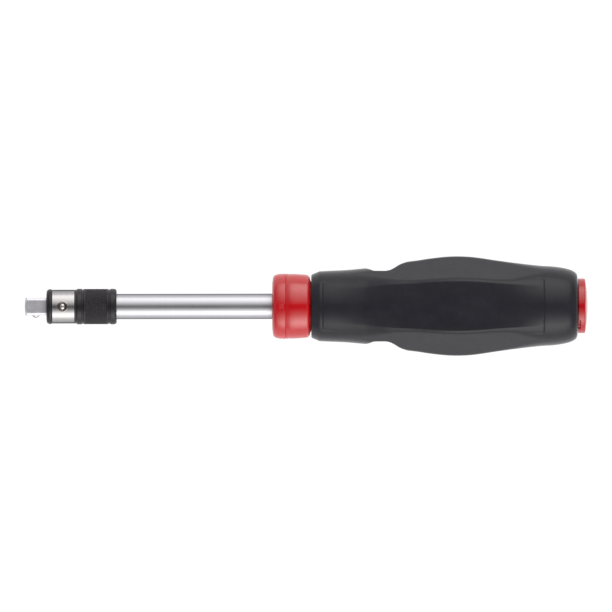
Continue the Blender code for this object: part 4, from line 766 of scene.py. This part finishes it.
gripLook = {
    "columns": 480, "rows": 162,
    "crowded": [(101.8, 0.4, 14), (104.75, 0.3, 12), (105.84, 0.35, 15), (184.4, 0.35, 15),
                (128, 7, 1.2), (196.2, 0.8, 12)],
    "reach": [
        (101.8, 12.42), (104.6, 12.44), (108.5, 12.61), (112.7, 12.78),
        (115.6, 12.96), (118.5, 13.24), (121.3, 13.5), (124.0, 13.99), (126.6, 14.5),
        (130.2, 15.15), (133.2, 15.57), (136.2, 15.85), (139.8, 16.27), (142.6, 16.72),
        (145.5, 17.1), (148.3, 17.42), (151.2, 17.62), (153.4, 17.68), (155.5, 17.64),
        (158.4, 17.48), (161.2, 17.16), (164.0, 16.76), (166.9, 16.3), (169.7, 15.91),
        (172.5, 15.52), (175.4, 15.16), (178.2, 14.82), (181.1, 14.5), (184.0, 14.22),
        (186.8, 14.08), (189.65, 13.78), (191.1, 13.55), (192.5, 13.25), (193.9, 12.86),
        (195.0, 12.33), (195.6, 11.93), (196.1, 11.38), (196.35, 10.75), (196.4, 10.3)],
    # corner radius as a thousandth of the reach, 1000 is a full circle: the two side corners, and
    # the four creases beside the panels
    "cornerRound": [
        (101.8, 1000, 1000), (114, 995, 995), (118, 950, 950), (122, 850, 820),
        (127.7, 600, 500), (133.4, 330, 290), (140.5, 225, 225), (146, 202, 212),
        (153.4, 198, 212), (160, 208, 220), (166.9, 230, 255), (172.5, 330, 340),
        (178, 650, 650), (182.5, 900, 900), (186.5, 1000, 1000), (196.4, 1000, 1000)],
    # lean in degrees of the slightly domed panels where they meet the creases
    "panelLean": [
        (101.8, 30), (105.5, 30), (110, 28.3), (114, 25.5), (118, 21.5), (122, 17), (127.7, 11.5),
        (133.4, 8), (141, 5), (150, 3), (165, 3), (170.8, 5), (175, 10), (179, 18), (182.5, 25.5),
        (184.6, 30), (196.4, 30)],
    "panelSoftness": 0.02,
    "notch": [
        (118.5, 15.5), (120.4, 13.9), (121.3, 13.5), (122.7, 13.1), (124.0, 12.63),
        (125.4, 12.56), (127.8, 12.56), (128.6, 12.62), (129.8, 12.89), (131.3, 13.63),
        (132.7, 14.5), (134.1, 15.2), (135.2, 15.55), (137.0, 16.4), (139.0, 18.0)],
    "notchSoftness": 0.07,
    "chamferStart": 101.8, "chamferReach": 11.2, "chamferRise": 0.42, "chamferSoftness": 0.035,
    "faceRound": 0.35, "faceRoundLength": 0.12,
    "panelStart": 105.84, "panelEnd": 184.4, "panelFrontHalf": 8.75, "panelRearHalf": 9.75,
    "panelCorner": 1.0, "grooveDepth": 0.17, "grooveWidth": 0.17,
    "frontFade": 5, "rearFade": 3.5, "grooveOver": 5, "panelOver": 8,
    "inner": [
        (196.4, 9.15, 9.15), (177.99, 11.45, 8.09), (152.98, 14.19, 3.45), (144.52, 12.67, 6.65),
        (135.97, 11.15, 11.15), (104.0, 11.15, 11.15)],
    "mouthReach": 10.2, "mouthFrom": 101.8, "mouthTo": 104.0,
}


nearly = 0.9999   # keeps a round corner a hair smaller than the full circle


# Distance of the flats of a hexagon with round corners from its side corners' reach and radius,
# and the radius of its other four corners, held under that distance.
def faceAndCrease(reach, sideRadius, creaseRadius):
    flat = (reach - sideRadius) * math.cos(sixth / 2) + sideRadius
    return flat, np.minimum(creaseRadius, flat * nearly)


# Reach of that hexagon at each angle a off its nearest corner. With the flats' distance f and a
# corner's radius q its middle is at c = (f - q) / cos 30. On a corner's arc the reach is
# c cos a + sqrt(q^2 - c^2 sin^2 a); on a flat it is f / cos(30 degrees - a).
def roundHexagonReach(angles, reach, sideRadius, creaseRadius):
    off = np.abs((angles + sixth / 2) % sixth - sixth / 2)
    flat, crease = faceAndCrease(reach, sideRadius, creaseRadius)
    corner = np.where(np.abs(np.sin(angles)) < 0.5, sideRadius, crease)
    centre = (flat - corner) / math.cos(sixth / 2)
    arc = centre * np.cos(off) + np.sqrt(np.maximum(corner**2 - (centre * np.sin(off)) ** 2, 0))
    turnAt = np.arctan2(corner * 0.5, centre + corner * math.cos(sixth / 2))
    return np.where(off < turnAt, arc, flat / np.cos(sixth / 2 - off))


# Reach of the grip along x: its smooth line, held under a chamfer with a round front edge.
def gripReach(look, x):
    behind = x - look["chamferStart"] * mm
    chamfer = look["chamferReach"] * mm + behind * look["chamferRise"]
    chamfer -= look["faceRound"] * mm * np.exp(-behind / (look["faceRoundLength"] * mm))
    return softMinimum(smoothThrough(x, look["reach"]), chamfer, look["chamferSoftness"] * mm)


# Depth of the fine groove on the top and bottom flats: a bell over the distance from the line of a
# rounded frame, which fades away from both its ends.
def grooveDepth(look, x, y, z):
    start, end = look["panelStart"] * mm, look["panelEnd"] * mm
    halfWide = look["panelFrontHalf"] + (look["panelRearHalf"] - look["panelFrontHalf"]) * (
        (x - start) / (end - start))
    corner = look["panelCorner"] * mm
    dx = np.abs(x - (start + end) / 2) - (end - start) / 2 + corner
    dy = np.abs(y) - halfWide * mm + corner
    away = np.hypot(np.maximum(dx, 0), np.maximum(dy, 0)) + np.minimum(np.maximum(dx, dy), 0)
    shown = np.maximum(bell(x - start, look["frontFade"] * mm),
                       bell(end - x, look["rearFade"] * mm))
    depth = look["grooveDepth"] * mm * bell(away - corner, look["grooveWidth"] * mm) * shown
    return np.where(np.abs(z) > look["grooveOver"] * mm, depth, 0)


# Height of the top panel: a flat arc across it, which meets the creases where they lean 30 degrees
# and cuts them there, so that the edge stays crisp.
def panelHeight(look, x, y, flat, crease):
    meetY = (flat - crease) * math.tan(sixth / 2) + crease / 2
    meetZ = flat - crease * (1 - math.cos(sixth / 2))
    lean = np.radians(smoothThrough(x, look["panelLean"]) / mm)
    dome = meetY / np.sin(lean)
    return meetZ - dome * np.cos(lean) + np.sqrt(np.maximum(dome**2 - y**2, 0))


# Grip grid: the round hexagon along the grip, less the groove. Its height is held under the panels
# above and below, and y under the notch line in the two side corners. Inside it lies on the core,
# and in front it closes round the mouth.
def gripGrid(look):
    angles = roundAngles(look["columns"])
    x = crowdedPlaces(look["reach"], look["rows"], look["crowded"])[:, None]
    reach = gripReach(look, x)
    rounds = np.array(look["cornerRound"])
    sideRadius = reach * smoothThrough(x, rounds[:, [0, 1]]) * nearly
    creaseRadius = reach * smoothThrough(x, rounds[:, [0, 2]])
    outer = roundHexagonReach(angles, reach, sideRadius, creaseRadius)
    y, z = outer * np.cos(angles), outer * np.sin(angles)
    grid = aroundAxis(x, outer - grooveDepth(look, x, y, z), angles)
    panel = panelHeight(look, x, y, *faceAndCrease(reach, sideRadius, creaseRadius))
    grid[..., 2] = heldUnder(panel, grid[..., 2], look["panelSoftness"] * mm,
                             np.abs(grid[..., 2]) > look["panelOver"] * mm)
    inNotch = (x > look["notch"][0][0] * mm) & (x < look["notch"][-1][0] * mm)
    grid[..., 1] = heldUnder(smoothThrough(x, look["notch"]), grid[..., 1],
                             look["notchSoftness"] * mm, inNotch)
    innerX, innerReach, corner = np.array(look["inner"]).T[:, :, None] * mm
    innerReach = roundHexagonReach(angles, innerReach, corner * nearly, corner)
    inner = aroundAxis(innerX, innerReach, angles)
    mouthX = np.array([[look["mouthTo"]], [look["mouthFrom"]]]) * mm
    return np.concatenate([grid, inner, aroundAxis(mouthX, look["mouthReach"] * mm, angles)])


settle(makePiece("gripCover", gripGrid(gripLook), rowsJoin=True), "handle", "grip_cover",
       "softGripRubber")


# Sprung coils: those of the sleeve and the drive ball

# axis is 0 for X and 1 for Y; shift is 1 where the coil's middle isn't on the tool's axis
coilLook = {
    "stepsPerTurn": 24, "wireSides": 10,
    "sleeveSpring": {"node": "sleeve_spring", "body": "shaft", "joint": "sleeve_slide",
                     "wire": 0.6, "turns": 6.5, "axis": 0, "shift": (0, 0, 0), "stroke": 3.0},
    "driveBallSpring": {"node": "drive_ball_spring", "body": "adaptor",
                        "joint": "drive_ball_press", "wire": 0.3, "turns": 2.5, "axis": 1,
                        "shift": (1, 0, 0), "stroke": 0.7},
}


# Coil of wire: at turn angle a its middle is at (start + lead a, r cos a, r sin a), and a point b
# round the wire lies w cos b further out and w sin b back along the axis. The node's box gives r
# and both ends, which close on the wire's middle.
def coilGrid(look, low, high):
    axis, radius = look["axis"], look["wire"] / 2 * mm
    middle = (high + low) / 2 * look["shift"]
    across = np.arange(3) != axis
    reach = np.maximum(high - middle, middle - low)[across].max() - radius
    rows = int(look["turns"] * coilLook["stepsPerTurn"]) + 1
    turn = np.linspace(0, 2 * math.pi * look["turns"], rows)[:, None]
    along = np.linspace(low[axis] + radius, high[axis] - radius, rows)[:, None]
    b = roundAngles(coilLook["wireSides"])
    out = reach + radius * np.cos(b)
    coil = np.stack(np.broadcast_arrays(
        along - radius * np.sin(b), out * np.cos(turn), out * np.sin(turn)), axis=-1)
    if axis == 1:   # a quarter turn about Z brings the coil's axis from X to Y
        coil = np.stack([-coil[..., 1], coil[..., 0], coil[..., 2]], axis=-1)
    return coil + middle


for name in ("sleeveSpring", "driveBallSpring"):
    look = coilLook[name]
    low, high = (np.array(corner, float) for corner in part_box(look["node"]))
    coil = makePiece(name, coilGrid(look, low, high))
    settle(coil, look["body"], look["node"], "drawnSpringSteel")
    length = high[look["axis"]] - low[look["axis"]]
    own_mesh(coil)
print("pieces made")


# Finishes of the CAD nodes that show as they are

nodeFinishes = {
    "drawnSpringSteel": ("spring_washer", "sleeve_circlip", "gear_circlip", "pawl_spring_left",
                         "pawl_spring_right", "detent_spring"),
    "groundPinSteel": ("chuck_pin", "lock_plunger", "pawl_pin_left", "pawl_pin_right",
                       "housing_pin_left", "housing_pin_right"),
    "dieCastZinc": ("ratchet_housing", "housing_cover"),
    "sinteredBronze": ("front_bush",),
    "hardenedGearSteel": ("ratchet_gear", "pawl_left", "pawl_right"),
    "lappedBallSteel": ("detent_ball", "thrust_ball"),
    "zincPlatedScrew": ("cover_screw_1", "cover_screw_2", "cover_screw_3"),
    "mouldedGreyNylon": ("handle_core",),
}
for finishName, names in nodeFinishes.items():
    for name in names:
        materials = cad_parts[name].data.materials
        materials.clear()
        materials.append(finish[finishName])
print("nodes finished", sum(len(names) for names in nodeFinishes.values()))


# Floor, lamps and camera

stageLook = {
    "floorLevel": -15.78, "floorSize": 9.0, "floorColour": "F8F8F8",
    "floorGlow": 0.8,   # share of the floor's white that isn't the lamps' light
    "glowStrength": 1.16,
    "worldColour": "F0F4FF", "lampColour": "FFFDF8",
    # radiance of the world at heights from 0, level, to 1, straight up
    "world": [(0.0, 0.42), (0.5, 0.38), (0.75, 0.3), (0.92, 0.14), (1.0, 0.08)],
    "lampLean": 49, "lampDistance": 2.4, "lampHalfAngle": 41, "lampHalfLength": 40,
    # radiance at angles off straight up: dim by the camera, brightest low down at the side
    "farLamp": [(8, 0.35), (18, 0.8), (28, 1.25), (37, 1.6), (51, 2.1), (68, 2.8), (80, 2.4),
                (90, 1.7)],
    "nearLamp": [(8, 0.1), (18, 0.45), (28, 0.95), (37, 1.6), (46, 2.6), (54, 3.5), (62, 4.0),
                 (70, 3.3), (78, 2.3), (86, 1.5), (90, 1.2)],
    # share of it at angles forward and back along the tool
    "along": [(-40, 0.1), (-28, 0.2), (-16, 0.38), (-8, 0.58), (0, 0.86), (6, 1.0), (14, 1.0),
              (24, 0.85), (34, 0.62), (40, 0.4)],
    "cameraHeight": 4.9, "cameraX": 99.93, "cameraY": 0.09, "roll": -0.086, "lens": 811,
}

level = stageLook["floorLevel"] * mm
half = stageLook["floorSize"] / 2
floorMesh = bpy.data.meshes.new("paleFloor")
floorMesh.from_pydata([(-half, -half, level), (half, -half, level), (half, half, level),
                       (-half, half, level)], [], [(0, 1, 2, 3)])
floor = addObject("paleFloor", floorMesh)

# Matt studio paper: reads white to the eye and in gloss, and keeps a soft shadow.
paper = bpy.data.materials.new("mattStudioPaper")
tree = emptyTree(paper)
path = addNode(tree, "ShaderNodeLightPath", {})
seen = addNode(tree, "ShaderNodeMath", {"operation": "MAXIMUM"}, {
    0: path.outputs["Is Camera Ray"], 1: path.outputs["Is Glossy Ray"]}).outputs[0]
seen = addNode(tree, "ShaderNodeMath", {"operation": "MAXIMUM"}, {
    0: seen, 1: path.outputs["Is Transmission Ray"]}).outputs[0]
glow = addNode(tree, "ShaderNodeMath", {"operation": "MULTIPLY", 1: stageLook["floorGlow"]},
               {0: seen}).outputs[0]
sheet = addNode(tree, "ShaderNodeBsdfDiffuse", {"Color": linearColour(stageLook["floorColour"])})
light = addNode(tree, "ShaderNodeEmission", {"Strength": stageLook["glowStrength"]})
total = addNode(tree, "ShaderNodeMixShader", {}, {
    0: glow, 1: sheet.outputs[0], 2: light.outputs[0]})
addNode(tree, "ShaderNodeOutputMaterial", {}, {"Surface": total.outputs[0]})
floorMesh.materials.append(paper)


# Colour ramp as a curve: stops of (place, value), value given as a share of the peak.
def addRamp(tree, source, stops, peak):
    ramp = addNode(tree, "ShaderNodeValToRGB", {}, {"Fac": source})
    elements = ramp.color_ramp.elements
    for k, (place, value) in enumerate(stops):
        stop = elements[k] if k < 2 else elements.new(1.0)
        stop.position = min(max(place, 0), 1)
        stop.color = grey(value / peak)
    return ramp.outputs["Color"]


world = bpy.data.worlds.new("studioWorld")
tree = emptyTree(world)
upwards = addNode(tree, "ShaderNodeSeparateXYZ", {}, {
    "Vector": addNode(tree, "ShaderNodeTexCoord", {}).outputs["Generated"]}).outputs["Z"]
strength = addRamp(tree, upwards, stageLook["world"], 1.0)
sky = addNode(tree, "ShaderNodeBackground", {"Color": linearColour(stageLook["worldColour"])},
              {"Strength": strength})
addNode(tree, "ShaderNodeOutputWorld", {}, {"Surface": sky.outputs[0]})
bpy.context.scene.world = world

# Two big soft boxes, one on each side of the tool, facing it. Each is brighter towards the floor
# and dims towards its ends: a ray at an angle meets the box at distance * tan(angle - lean) from
# its middle across it, and at distance * tan(angle) along it.
distance = stageLook["lampDistance"]
lean = math.radians(stageLook["lampLean"])
width = 2 * distance * math.tan(math.radians(stageLook["lampHalfAngle"]))
length = 2 * distance * math.tan(math.radians(stageLook["lampHalfLength"]))
for side, name in ((1, "farLamp"), (-1, "nearLamp")):
    peak = max(radiance for angle, radiance in stageLook[name])
    lamp = bpy.data.lights.new(name, "AREA")
    lamp.shape = "RECTANGLE"
    lamp.size, lamp.size_y = length, width
    lamp.energy = peak * length * width * math.pi   # radiance times area times pi
    lamp.color = linearColour(stageLook["lampColour"])[:3]
    tree = emptyTree(lamp)
    spot = addNode(tree, "ShaderNodeNewGeometry", {}).outputs["Parametric"]
    spot = addNode(tree, "ShaderNodeSeparateXYZ", {}, {"Vector": spot})
    across = addRamp(tree, spot.outputs["Y"], [
        (0.5 + side * distance * math.tan(math.radians(angle) - lean) / width, radiance)
        for angle, radiance in stageLook[name]], peak)
    along = addRamp(tree, spot.outputs["X"], [
        (0.5 + distance * math.tan(math.radians(angle)) / length, share)
        for angle, share in stageLook["along"]], 1.0)
    both = addNode(tree, "ShaderNodeVectorMath", {"operation": "MULTIPLY"}, {
        0: across, 1: along}).outputs[0]
    glow = addNode(tree, "ShaderNodeEmission", {}, {"Color": both})
    addNode(tree, "ShaderNodeOutputLight", {}, {"Surface": glow.outputs[0]})
    box = addObject(name, lamp)
    box.location = (stageLook["cameraX"] * mm, side * math.sin(lean) * distance,
                    math.cos(lean) * distance)
    box.rotation_euler = (-side * lean, 0, 0)
    box.visible_camera = False

lens = bpy.data.cameras.new("camera")
lens.lens = stageLook["lens"]
lens.sensor_width = 36
camera = addObject("camera", lens)
camera.location = (stageLook["cameraX"] * mm, stageLook["cameraY"] * mm, stageLook["cameraHeight"])
camera.rotation_euler = (0, 0, math.radians(stageLook["roll"]))
bpy.context.scene.camera = camera
bpy.context.scene.view_settings.view_transform = "Standard"
print("stage set")
